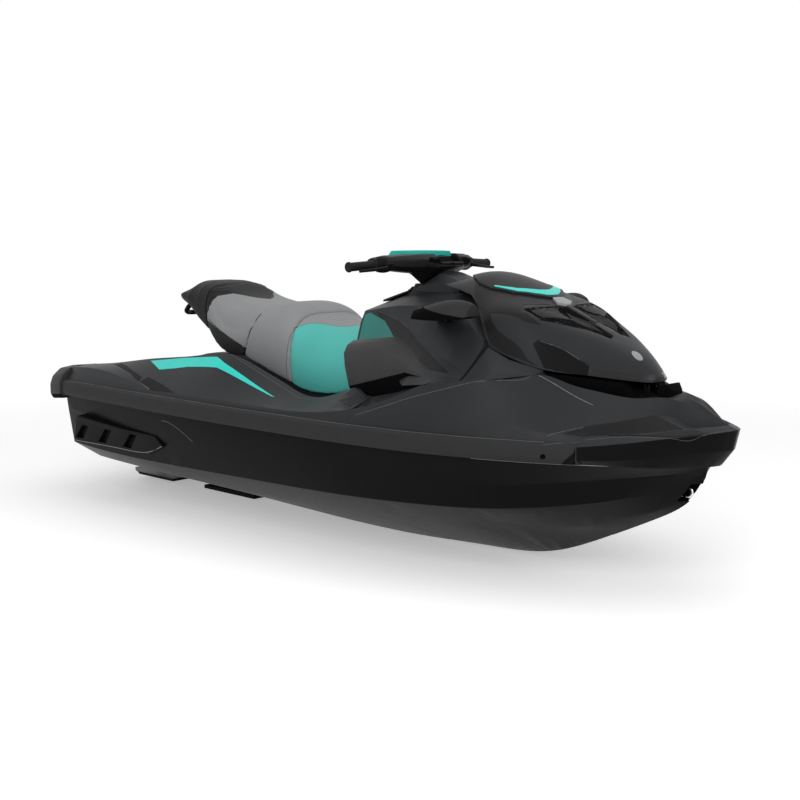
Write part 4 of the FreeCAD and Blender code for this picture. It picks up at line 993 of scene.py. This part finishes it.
# The upper edge of the rear seat's black base: its fore end along X and Z, and its rise aft
BASE_FORE = (-0.534, 0.468)
BASE_RISE = 0.342
# A height over the saddle, from which its seams are dropped on it
OVER_SADDLE = 0.8


def breadth(line: Sequence[Pair], x: float) -> float:
    """The half breadth at a place along a line.

    Args:
        line: Pairs of a place along X and a half breadth, from aft to fore.
        x: The place.

    Returns:
        The half breadth, 0 past the line's fore end.
    """
    for (x0, y0), (x1, y1) in zip(line, line[1:]):
        if x <= x1:
            return y0 + (y1 - y0) * max(0.0, x - x0) / (x1 - x0)
    return 0.0


def grey_crown(centre: Vector, normal: Vector) -> bool:
    """Whether a face of the mint seat belongs to the grey tongue along its top."""
    return abs(centre.y) < breadth(TONGUE, centre.x) and normal.z > -0.2


def black_shell(centre: Vector, normal: Vector) -> bool:
    """Whether a face of the rear seat belongs to the black hump or the black base."""
    edge = BASE_FORE[1] + BASE_RISE * (BASE_FORE[0] - centre.x)
    return centre.z < edge or abs(centre.y) < breadth(HUMP, centre.x)


def around(line: Sequence[Pair], z: float) -> tuple[Point, ...]:
    """A line of half breadths taken round both sides, at one height."""
    near = [(x, -y, z) for x, y in line]
    return tuple(near + [(x, -y, z) for x, y, z in reversed(near[:-1])])


CUSHIONS = [
    Cushion("rear_seat", SEAT_GREY, "seat_grey", (-0.850, -0.461), second=SEAT_BLACK,
            other=black_shell),
    Cushion("driver_bolster", SEAT_GREY, "seat_grey", (-0.461, -0.244)),
    Cushion("front_seat", SEAT_MINT, "seat_mint", (-0.244, 0.128), second=SEAT_GREY,
            other=grey_crown),
]


class Drawing:
    """Frame nodes that keep their own mesh and only get a better finish."""

    NODES = {
        CAST_GREY: ("pump_housing", "steering_nozzle", "reverse_bucket"),
        BRIGHT_STEEL: ("impeller", "bow_eye", "stern_eye_port", "stern_eye_stbd"),
        # The ride plate and the intake grate take the hull's near-black as painted shade under the
        # hull
        HULL_GLOSS_AND_SHADE: ("ride_plate", "intake_grate"),
        ENGINE_GREY: ("engine_block",),
        FOAM_MAT: ("swim_mat", "footwell_mat_port", "footwell_mat_stbd"),
        BLACK_MOULD: ("cargo_socket_port", "cargo_socket_stbd", "grab_handle", "storage_bin",
                      "lid_hinge_port", "lid_hinge_stbd", "steering_neck", "handlebar"),
        GRIP_RUBBER: ("grip_port", "grip_stbd")}

    def dress(self) -> None:
        """Put each finish on its node's own mesh."""
        for finish, nodes in self.NODES.items():
            for node in nodes:
                data = bpy.data.objects[node].data
                data.materials.clear()
                data.materials.append(finish.material())


# Profiles of the rise to the bars and of the web in the bow eye's notch: X and Z, millimetres
RISE_FLANK = ((330, 722), (330, 736), (365, 748), (430, 762), (500, 752), (548, 738),
              (548, 722))
RISE_EDGE = ((322, 722), (322, 738), (372, 766), (432, 797), (503, 776), (556, 748),
             (556, 722))
RISE_CREST = ((318, 722), (318, 738), (372, 768), (434, 803), (508, 780), (562, 752),
              (562, 722))
STEM_NOTCH = ((1400, 40), (1466, 46), (1484, 62), (1511, 96), (1532, 130), (1541, 152),
              (1420, 152))


def raked(*pairs: Pair) -> tuple[Point, ...]:
    """Corners of a speaker pod's rear face, which leans aft towards its top and outer side.

    Args:
        *pairs: Their places along Y and Z, in millimetres.

    Returns:
        The corners, in metres.
    """
    return tuple((0.330 - 0.42 * (z - 0.323) - 0.1 * (y + 0.400), y, z)
                 for _, y, z in end_on(0, *pairs))


LOFTS = [
    Loft("bar_shroud",
         (mm((310, 0, 741), (313, -32, 743), (340, -54, 758), (388, -52, 786), (421, -30, 805),
             (426, 0, 808)),
          mm((272, 0, 775), (290, -55, 778), (318, -98, 785), (392, -92, 797), (435, -45, 812),
             (442, 0, 814)),
          mm((262, 0, 802), (268, -85, 802), (320, -122, 804), (400, -112, 810), (446, -55, 820),
             (455, 0, 822)),
          mm((256, 0, 832), (262, -90, 832), (320, -130, 832), (400, -118, 834), (440, -60, 838),
             (446, 0, 838))),
         BAR_SATIN, "steering", "deck_gelcoat", halved=True, paired=False, radius=0.004),
    Loft("bar_wing",
         (side_on(-60, (262, 800), (262, 862), (300, 869), (400, 869), (430, 850), (430, 815),
                  (360, 792), (290, 790)),
          side_on(-130, (250, 806), (248, 856), (285, 866), (385, 866), (420, 848), (415, 818),
                  (350, 798), (285, 796)),
          side_on(-200, (226, 814), (226, 850), (255, 862), (330, 860), (360, 845), (352, 820),
                  (310, 806), (255, 805)),
          side_on(-256, (232, 824), (232, 846), (250, 853), (290, 852), (302, 843), (298, 826),
                  (280, 818), (250, 817))), BAR_SATIN, "steering", "deck_gelcoat", radius=0.004),
    Loft("column_rise",
         (side_on(-88, *RISE_FLANK), side_on(-62, *RISE_EDGE),
          side_on(0, *RISE_CREST), side_on(62, *RISE_EDGE),
          side_on(88, *RISE_FLANK)), DECK_SATIN, slot="deck_gelcoat", paired=False, radius=0.003),
    # Faces under the pod's outer crease are black: partly its speaker grille, partly painted shade
    # of its underside
    Loft("speaker_pod_body",
         (raked((-290, 300), (-398, 300), (-430, 386), (-420, 460), (-404, 505),
                (-372, 532), (-330, 545), (-290, 546)),
          end_on(430, (-290, 285), (-408, 285), (-436, 417), (-428, 480), (-404, 530),
                 (-362, 560), (-320, 568), (-290, 568)),
          end_on(608, (-290, 345), (-412, 350), (-442, 462), (-434, 478), (-408, 495),
                 (-372, 505), (-330, 508), (-290, 508)),
          end_on(748, (-290, 410), (-430, 415), (-452, 446), (-446, 450),
                 (-430, 452.5), (-405, 453.5), (-360, 454), (-290, 454))),
         POD_GREY, radius=0.016, angle=30, second=GRILLE_BLACK_AND_SHADE, under=pod_grille_and_shade,
         replaces="speaker_pod"),
    Loft("stern_cap",
         (end_on(-1450, (-360, 338), (-450, 340), (-515, 330), (-556, 300), (-571, 262),
                 (-571, 212), (-556, 192), (-360, 192)),
          end_on(-1560, (-360, 326), (-430, 328), (-498, 319), (-538, 286), (-552, 250),
                 (-552, 202), (-538, 180), (-360, 180)),
          end_on(-1634, (-340, 307), (-400, 309), (-458, 299), (-496, 268), (-508, 238),
                 (-508, 202), (-494, 180), (-340, 180)),
          end_on(-1661, (-330, 286), (-375, 287), (-430, 276), (-464, 252), (-474, 233),
                 (-474, 207), (-460, 192), (-330, 192))),
         POD_GREY, slot="trim_grey", radius=0.008, angle=12, second=GRILLE_BLACK_AND_SHADE, under=faces_down,
         replaces="stern_corner"),
    Loft("eye_web",
         (side_on(-3, *STEM_NOTCH), side_on(3, *STEM_NOTCH)),
         GRILLE_BLACK_AND_SHADE, slot="hull_gelcoat", paired=False),
]

PATCHES = [
    Patch("visor", ("hood_shell",),
          level(900, (560, 0), (600, -70), (655, -128), (700, -154), (762, -158), (850, -143),
                (905, -82), (932, -32), (934, 0), (932, 32), (905, 82), (850, 143), (762, 158),
                (700, 154), (655, 128), (600, 70)),
          DOWN, VISOR_DARK_AND_SHADE, "front_lid", thick=0.009, paired=False, edge=0.003, step=0.02),
    Patch("visor_stripe", ("visor",),
          level(900, (762, -147), (820, -138), (853, -125), (893, -75), (918, -30), (921, 0),
                (884, 0), (880, -30), (862, -68), (836, -108), (804, -127), (762, -140)),
          DOWN, STRIPE_MINT, "front_lid", thick=0.001, step=0.008),
    Patch("visor_tip", ("hood_shell",),
          level(900, (936, -30), (966, -44), (984, -14), (984, 14), (966, 44), (936, 30)),
          DOWN, SILVER_GREY, "front_lid", thick=0.009, paired=False, edge=0.002, step=0.01),
    Patch("centre_strip", ("hood_shell",),
          level(900, (986, -13), (1105, -6), (1105, 6), (986, 13)),
          DOWN, SEAM_GREY, "front_lid", thick=0.004, paired=False, step=0.01, edge=0.001,
          bridge=0.02),
    # A black sheet spanning the scoop's channels: painted shade of the recess
    Patch("scoop_recess", ("hood_shell",),
          level(900, (946, -207), (975, -60), (990, -18), (1090, -14), (1196, -34), (1150, -85),
                (1110, -128), (1018, -207)),
          DOWN, GRILLE_BLACK_AND_SHADE, "front_lid", bridge=0.016, step=0.010),
    Patch("scoop_floor", ("scoop_recess*",),
          level(900, (962, -192), (986, -70), (1066, -104), (1016, -190)),
          DOWN, FACET_DARK, "front_lid", thick=0.002, edge=0.0008),
    Patch("scoop_louvre", ("scoop_recess*",),
          level(900, (1010, -50), (1100, -30), (1165, -43), (1120, -90), (1085, -100)),
          DOWN, QUAD_DARK, "front_lid", thick=0.002, edge=0.0008),
    Patch("badge", ("hood_shell",),
          disc(0.019, 24, (1.292, -0.030, 0.700)),
          DOWN, SILVER_GREY, "front_lid", thick=0.0016, paired=False, step=0.02,
          edge=0.0008),
    # A darker sheet over the hood's aft shoulders, beside the visor: painted shade
    Patch("hood_shoulder_shade", ("hood_shell",),
          mm((676, -144, 771), (718, -137, 765), (783, -150, 743), (887, -145, 718),
             (960, -75, 700), (925, -185, 697), (968, -215, 672), (1030, -222, 640),
             (985, -245, 650), (941, -250, 666), (880, -257, 674), (835, -255, 672),
             (862, -275, 640), (894, -283, 614), (933, -284, 594), (980, -282, 570),
             (1002, -283, 550), (1028, -286, 524), (1068, -284, 504), (1019, -292, 520),
             (938, -298, 539), (866, -292, 571), (840, -283, 614), (804, -256, 663),
             (756, -227, 695), (721, -202, 725)),
          (0, 0.75, -0.66), VISOR_DARK_AND_SHADE, "front_lid", thick=0.0012, step=0.012),
    Patch("vent_shade", ("hood_shell", "side_vent*_shell"),
          mm((1028, -261, 576), (1042, -246, 592), (1120, -215, 560), (1203, -188, 510),
             (1207, -200, 480), (1150, -240, 488), (1087, -276, 500)),
          (-0.3, 0.9, -0.3), LENS_DARK_AND_SHADE, "front_lid", thick=0.0012, step=0.008),
    Patch("hood_skirt", ("hood_shell",),
          mm((1205, -200, 505), (1240, -172, 497), (1290, -122, 488), (1335, -62, 480),
             (1354, -20, 477), (1360, -20, 458), (1338, -81, 460), (1293, -132, 468),
             (1244, -177, 474), (1212, -203, 480)),
          (-0.45, 0.8, -0.3), TRIM_GLOSS, "front_lid", step=0.02),
    # A darker sheet on the steep bow facet under the crease: painted shade
    Patch("bow_facet_shade", ("deck_bow_shell", "bow_bumper_shell"),
          mm((1245, -372, 300), (1300, -316, 328), (1361, -263, 342), (1406, -200, 352),
             (1440, -140, 362), (1520, -120, 340), (1606, -97, 313), (1534, -188, 306),
             (1421, -266, 308), (1310, -340, 300)),
          (-0.2, 0.5, -0.8), FACET_DARK, thick=0.0015, step=0.008),
    Patch("bumper_lead", ("rub_rail*_shell",),
          mm((1246, -410, 201), (1304, -400, 264), (1304, -400, 199)),
          INWARD, BUMPER_BLACK, slot="trim_grey", thick=0.0012, step=0.01),
    Patch("rail_bolt", ("rub_rail*_shell",),
          disc(0.008, 16, (1.205, -0.432, 0.234), upright=True),
          INWARD, GRILLE_BLACK_AND_SHADE, slot="trim_grey", thick=0.002, step=0.02, edge=0.0008),
    Patch("haunch_stripe", ("deck_stern_shell", "gunwale*_shell"),
          mm((-905, -449, 395), (-680, -446, 430), (-440, -446, 441), (-375, -464, 424),
             (-6, -520, 325), (-20, -521, 325), (-400, -486, 407), (-600, -484, 398),
             (-781, -493, 369)), SLANTED, STRIPE_MINT),
    # Dark sheets on the haunch where it has a recess and a channel: painted shade
    Patch("haunch_recess_shade", ("deck_stern_shell", "gunwale*_shell"),
          mm((-806, -532, 339), (-838, -557, 318), (-715, -583, 296), (-550, -586, 299),
             (-665, -556, 318)), (0, 0.8, -0.6), QUAD_DARK),
    Patch("haunch_channel_shade", ("deck_stern_shell",),
          mm((-1170, -462, 358), (-1120, -450, 367), (-951, -508, 350), (-852, -534, 335),
             (-845, -556, 319), (-948, -528, 341), (-1060, -496, 350)),
          STEEP, QUAD_DARK),
    Patch("knee_panel", ("console_shell",),
          mm((146, -250, 350), (146, -200, 632), (176, -200, 640), (288, -200, 615),
             (390, -200, 560), (455, -200, 520), (470, -200, 350)),
          INWARD, KNEE_MINT, slot="seat_mint", thick=0.003, edge=0.002, step=0.02),
    Patch("console_shade", ("console_shell",),
          mm((200, -179, 648), (272, -200, 640), (378, -233, 622), (452, -264, 596),
             (541, -306, 560), (653, -359, 520), (725, -392, 496), (794, -424, 472),
             (694, -415, 478), (604, -374, 504), (526, -342, 514), (456, -311, 524),
             (377, -265, 562), (299, -222, 604), (226, -191, 638)),
          (0.1, 0.85, -0.5), VISOR_DARK_AND_SHADE, thick=0.0015, step=0.01),
    Patch("mirror_band", ("mirror*_shell",),
          mm((601, -420, 696), (645, -420, 690), (695, -410, 675), (765, -400, 668),
             (820, -360, 658), (820, -360, 636), (601, -420, 636)),
          INWARD, GRILLE_BLACK_AND_SHADE, slot="black_plastic", thick=0.0018, step=0.006),
    # A black sheet on the front of the bar cover: painted shade of its hollow
    Patch("bar_hollow_shade", ("bar_cover_shell", "bar_wing_stbd", "bar_wing_port", "bar_shroud"),
          end_on(460, (-120, 842), (-105, 856), (110, 856), (135, 840), (110, 824), (-50, 828)),
          (-1, 0, 0), GRILLE_BLACK_AND_SHADE, "steering", paired=False, thick=0.002, step=0.008),
]

CORDS = [
    Cord("knee_seam", ("console_shell",), mm((142, -250, 360), (142, -200, 500), (144, -200, 636)),
         INWARD, 0.003, PIPING, slot="seat_mint"),
    Cord("pad_seam", ("rear_seat_pad",),
         mm((-560, -240, 430), (-500, -240, 500), (-440, -240, 560), (-420, -200, 620)),
         INWARD, 0.0022, SEAM_GREY, slot="seat_grey"),
    Cord("mint_seam", ("driver_bolster_pad", "front_seat_pad"),
         mm((-244, -260, 345), (-243, -260, 450), (-243, -240, 530), (-235, -200, 575)),
         INWARD, 0.0022, SEAM_GREY, slot="seat_grey"),
    Cord("tongue_seam", ("front_seat_pad",),
         around(TONGUE, OVER_SADDLE), DOWN, 0.0024, MINT_PIPING, slot="seat_mint", paired=False),
    Cord("hump_seam", ("rear_seat_pad",),
         around(HUMP, OVER_SADDLE), DOWN, 0.0026, PIPING, slot="seat_black", paired=False),
    Cord("base_seam", ("rear_seat_pad",),
         side_on(-300, (-806, 570), (-700, 525), (-600, 491), (-534, 468)),
         INWARD, 0.0028, PIPING, slot="seat_black"),
    # The cords from here on are painted highlights: thin light lines along chines, creases and
    # rims
    Cord("hull_line_highlight", ("hull_fore_shell", "hull_bin_shell", "hull_bow_shell"),
         mm((960, -600, 208), (1100, -500, 208), (1250, -450, 208), (1380, -350, 208),
            (1470, -250, 209)), INWARD, 0.0022, HIGHLIGHT_LINE, slot="hull_gelcoat", proud=0.8),
    Cord("shoulder_crease_highlight", ("deck_bow_shell",),
         mm((488, -575, 312), (650, -540, 368), (818, -497, 423), (945, -435, 447),
            (1058, -368, 465), (1088, -318, 470)), SLANTED, 0.0016, EDGE_HIGHLIGHT),
    Cord("flank_crease_highlight", ("deck_bow_shell",),
         mm((1088, -318, 470), (1170, -285, 435), (1271, -253, 390)),
         SLANTED, 0.0018, HIGHLIGHT_LINE),
    Cord("bow_crease_highlight", ("deck_bow_shell",),
         mm((1203, -403, 298), (1280, -335, 322), (1361, -263, 342), (1406, -200, 352),
            (1440, -140, 362)), SLANTED, 0.0016, EDGE_HIGHLIGHT),
    Cord("nose_crease_highlight", ("deck_bow_shell", "bow_bumper_shell"),
         mm((1440, -140, 362), (1520, -120, 340), (1606, -97, 313)),
         SLANTED, 0.0018, HIGHLIGHT_LINE),
    Cord("bumper_line_highlight", ("deck_bow_shell", "bow_bumper_shell", "rub_rail*_shell"),
         mm((1201, -427, 271), (1273, -378, 285), (1350, -325, 294), (1421, -273, 304),
            (1534, -194, 302), (1600, -110, 313), (1648, -20, 322)),
         SLANTED, 0.0014, EDGE_HIGHLIGHT),
    Cord("rail_line_highlight", ("rub_rail*_shell",),
         level(280, (-1440, -566), (-1200, -569), (-800, -594), (-300, -611), (100, -611),
               (500, -596), (800, -552), (1050, -480), (1200, -419)),
         STEEP, 0.0014, EDGE_HIGHLIGHT, slot="trim_grey"),
    Cord("crest_line_highlight", ("gunwale*_shell",),
         mm((-333, -440, 447), (-174, -449, 399), (-8, -455, 346), (79, -461, 324),
            (200, -460, 332), (344, -458, 374)), STEEP, 0.0016, EDGE_HIGHLIGHT),
    Cord("channel_line_highlight", ("deck_stern_shell",),
         mm((-1170, -462, 356), (-1060, -496, 350), (-948, -528, 341), (-833, -558, 318),
            (-739, -579, 298)), STEEP, 0.0018, HIGHLIGHT_LINE),
    Cord("vent_edge_highlight", ("hood_shell", "vent_shade*"),
         mm((1040, -252, 590), (1120, -215, 560), (1203, -188, 510)),
         (-0.3, 0.9, -0.3), 0.0016, EDGE_HIGHLIGHT, "front_lid"),
    Cord("console_crease_highlight", ("console_shell",),
         mm((200, -179, 648), (272, -200, 640), (378, -233, 622), (452, -264, 596)),
         (0.1, 0.85, -0.5), 0.0012, EDGE_HIGHLIGHT),
    Cord("hull_crease_aft_highlight", ("hull_middle_shell",),
         side_on(-600, (-640, 176), (-587, 172), (-520, 150), (-436, 109)),
         INWARD, 0.0022, EDGE_HIGHLIGHT, slot="hull_gelcoat", proud=0.3),
    Cord("sponson_line_highlight", ("sponson*_shell",),
         side_on(-620, (-1330, 14), (-1050, 18), (-790, 22), (-662, 62)),
         INWARD, 0.0022, HIGHLIGHT_LINE, slot="black_plastic", proud=0.4),
]


@dataclass(frozen=True)
class Bars:
    """The small controls on the steering bars and the latch of the glovebox.

    Attributes:
        housing: Centres of the starboard switch housing's rings, from the grip inwards.
        housing_radii: Radii of those rings.
        button: Centres of the starboard button's rings.
        button_radii: Radii of those rings.
        finger: Places along the starboard lever, from its root.
        finger_root: The lever's radius at its root.
        finger_tip: The lever's radius at its tip.
        loop: Centre of the latch loop.
        loop_long: Half its length.
        loop_high: Half its height.
        loop_bar: Radius of its bar.
    """

    housing: tuple[Point, ...] = mm((287, -268, 828), (290, -256, 829), (292, -236, 829),
                                    (296, -214, 830), (299, -200, 830))
    housing_radii: tuple[float, ...] = (0.022, 0.030, 0.033, 0.031, 0.024)
    button: tuple[Point, ...] = mm((268, -240, 838), (262, -240, 841), (259, -240, 842.5))
    button_radii: tuple[float, ...] = (0.010, 0.009, 0.006)
    finger: tuple[Point, ...] = mm((312, -236, 824), (338, -262, 818), (334, -318, 812),
                                   (322, -368, 808), (326, -386, 807))
    finger_root: float = 0.0075
    finger_tip: float = 0.0050
    loop: Point = (0.241, 0.0, 0.717)
    loop_long: float = 0.020
    loop_high: float = 0.015
    loop_bar: float = 0.007

    def build(self) -> None:
        """Make switch housings, levers and the latch loop."""
        for side, tag in sides(paired=True):
            self.perch(side, tag)
            self.lever(side, tag)
        self.latch()

    def perch(self, side: int, tag: str) -> None:
        """The switch housing between a grip and the bar cover, with its button.

        Args:
            side: 1 for starboard, -1 for port.
            tag: Ending of the names.
        """
        housing = tube("switch_housing" + tag, [to_side(point, side) for point in self.housing],
                       self.housing_radii)
        finish_piece(housing, BLACK_MOULD, "steering")
        button = tube("switch_button" + tag, [to_side(point, side) for point in self.button],
                      self.button_radii)
        finish_piece(button, GRIP_RUBBER if side > 0 else STRIPE_MINT, "steering")

    def lever(self, side: int, tag: str) -> None:
        """A curved finger lever in front of a grip.

        Args:
            side: 1 for starboard, -1 for port.
            tag: Ending of the name.
        """
        line = flowing([to_side(point, side) for point in self.finger], step=0.006)
        taper = (self.finger_root - self.finger_tip) / (len(line) - 1)
        widths = [self.finger_root - taper * k for k in range(len(line))]
        finish_piece(tube("lever" + tag, line, widths), BLACK_MOULD, "steering")

    def latch(self) -> None:
        """A loop that lifts the glovebox lid."""
        x, y, z = self.loop
        ring = [Vector((x + self.loop_long * math.cos(a), y, z + self.loop_high * math.sin(a)))
                for a in (k * math.pi / 10 for k in range(20))]
        finish_piece(tube("latch_loop", ring, self.loop_bar, closed=True), BLACK_MOULD,
                     "glovebox")


@dataclass
class Studio:
    """Pale floor, white surround, soft lamps and the camera.

    Attributes:
        azimuth: The camera's turn about Z, in degrees.
        elevation: Its height over the horizon, in degrees.
        lens: Its focal length, in millimetres.
        sensor: Width of its sensor, in millimetres.
        eye: Its place.
        floor_half: Half the floor's side, where it has faded out.
        floor_solid: Radius within which the floor is solid.
        floor_grey: The floor's tone.
        floor_lift: Glow that makes the floor white where it is seen.
        sky: Strength of the even light all round.
        aim: The place that the lamps face.
        lamps: Name, place, side and power of each lamp.
    """

    azimuth: float = 43.48
    elevation: float = 7.71
    lens: float = 56.25
    sensor: float = 36.0
    eye: Point = (3.599, -3.625, 0.955)
    floor_half: float = 5.0
    floor_solid: float = 2.2
    floor_grey: float = 0.86
    floor_lift: float = 0.36
    sky: float = 0.5
    aim: Point = (0.1, 0.0, 0.2)
    lamps: tuple[tuple[str, Point, float, float], ...] = (
        ("overhead", (0.3, 0.2, 4.2), 5.0, 50.0),
        ("side_fill", (2.6, -4.6, 2.6), 3.0, 130.0),
        ("bow_fill", (5.2, 1.6, 2.4), 2.5, 40.0))

    def build(self) -> None:
        """Make the floor, the world, the lamps and the camera."""
        bpy.context.scene.view_settings.view_transform = "Standard"
        self.floor()
        self.world()
        for lamp in self.lamps:
            self.lamp(*lamp)
        self.camera()

    def camera(self) -> None:
        """The camera, where the photograph was taken from."""
        data = bpy.data.cameras.new("camera")
        data.sensor_width, data.lens = self.sensor, self.lens
        data.clip_start, data.clip_end = 0.05, 200.0
        camera = bpy.data.objects.new("camera", data)
        bpy.context.scene.collection.objects.link(camera)
        turn, tilt = math.radians(self.azimuth), math.radians(self.elevation)
        back = Vector((math.sin(turn) * math.cos(tilt), -math.cos(turn) * math.cos(tilt),
                       math.sin(tilt)))
        camera.location = self.eye
        camera.rotation_euler = (-back).to_track_quat("-Z", "Y").to_euler()
        bpy.context.scene.camera = camera

    def floor(self) -> None:
        """A wide floor at the keel that reads white to the camera and keeps the shadow."""
        bpy.ops.mesh.primitive_plane_add(size=2 * self.floor_half, location=(0, 0, KEEL_Z))
        plane = bpy.context.object
        plane.name = "studio_floor"
        material = bpy.data.materials.new("studio_floor")
        material.use_nodes = True
        nodes, links = material.node_tree.nodes, material.node_tree.links
        nodes.clear()
        out = nodes.new("ShaderNodeOutputMaterial")
        matt = nodes.new("ShaderNodeBsdfDiffuse")
        matt.inputs["Color"].default_value = (*[self.floor_grey] * 3, 1)
        glow = nodes.new("ShaderNodeEmission")
        lift = nodes.new("ShaderNodeMath")
        lift.operation = "MULTIPLY"
        lift.inputs[1].default_value = self.floor_lift
        links.new(self.seen(nodes, links), lift.inputs[0])
        links.new(lift.outputs[0], glow.inputs["Strength"])
        total = nodes.new("ShaderNodeAddShader")
        links.new(matt.outputs[0], total.inputs[0])
        links.new(glow.outputs[0], total.inputs[1])
        place = nodes.new("ShaderNodeTexCoord")
        reach = nodes.new("ShaderNodeVectorMath")
        reach.operation = "LENGTH"
        links.new(place.outputs["Object"], reach.inputs[0])
        fade = nodes.new("ShaderNodeMapRange")
        fade.interpolation_type = "SMOOTHSTEP"
        fade.inputs["From Min"].default_value = self.floor_solid
        fade.inputs["From Max"].default_value = self.floor_half
        links.new(reach.outputs["Value"], fade.inputs["Value"])
        clear = nodes.new("ShaderNodeBsdfTransparent")
        blend = nodes.new("ShaderNodeMixShader")
        links.new(fade.outputs["Result"], blend.inputs[0])
        links.new(total.outputs[0], blend.inputs[1])
        links.new(clear.outputs[0], blend.inputs[2])
        links.new(blend.outputs[0], out.inputs["Surface"])
        plane.data.materials.append(material)

    @staticmethod
    def seen(nodes: bpy.types.Nodes, links: bpy.types.NodeLinks) -> bpy.types.NodeSocket:
        """A socket that is 1 for camera, glossy and transmission rays.

        Args:
            nodes: Nodes of the material or the world.
            links: Its links.

        Returns:
            The socket.
        """
        path = nodes.new("ShaderNodeLightPath")
        first = nodes.new("ShaderNodeMath")
        second = nodes.new("ShaderNodeMath")
        for step in (first, second):
            step.operation = "MAXIMUM"
        links.new(path.outputs["Is Camera Ray"], first.inputs[0])
        links.new(path.outputs["Is Glossy Ray"], first.inputs[1])
        links.new(first.outputs[0], second.inputs[0])
        links.new(path.outputs["Is Transmission Ray"], second.inputs[1])
        return second.outputs[0]

    def world(self) -> None:
        """White to what is seen, and a soft even level for the light itself."""
        world = bpy.data.worlds.new("surround")
        bpy.context.scene.world = world
        world.use_nodes = True
        nodes, links = world.node_tree.nodes, world.node_tree.links
        light = nodes["Background"]
        light.inputs["Color"].default_value = (1, 1, 1, 1)
        light.inputs["Strength"].default_value = self.sky
        white = nodes.new("ShaderNodeBackground")
        white.inputs["Color"].default_value = (1, 1, 1, 1)
        white.inputs["Strength"].default_value = 1.0
        blend = nodes.new("ShaderNodeMixShader")
        links.new(self.seen(nodes, links), blend.inputs[0])
        links.new(light.outputs[0], blend.inputs[1])
        links.new(white.outputs[0], blend.inputs[2])
        links.new(blend.outputs[0], nodes["World Output"].inputs["Surface"])

    def lamp(self, name: str, place: Point, size: float, watts: float) -> None:
        """A square soft lamp that faces the craft.

        Args:
            name: The lamp's name.
            place: Where it hangs.
            size: Its side.
            watts: Its power.
        """
        data = bpy.data.lights.new(name, "AREA")
        data.shape, data.size, data.energy = "SQUARE", size, watts
        lamp = bpy.data.objects.new(name, data)
        bpy.context.scene.collection.objects.link(lamp)
        lamp.location = place
        aim = Vector(self.aim) - Vector(place)
        lamp.rotation_euler = aim.to_track_quat("-Z", "Y").to_euler()


def main() -> None:
    """Load the frame, build every piece and report it."""
    logging.basicConfig(level=logging.INFO, format="%(name)s %(message)s")
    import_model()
    Studio().build()
    Drawing().dress()
    for moulding in MOULDINGS:
        moulding.build()
    for cushion in CUSHIONS:
        cushion.build()
    for loft in LOFTS:
        loft.build()
    for patch in PATCHES:
        patch.build()
    for cord in CORDS:
        cord.build()
    Bars().build()


if __name__ == "__main__":
    main()
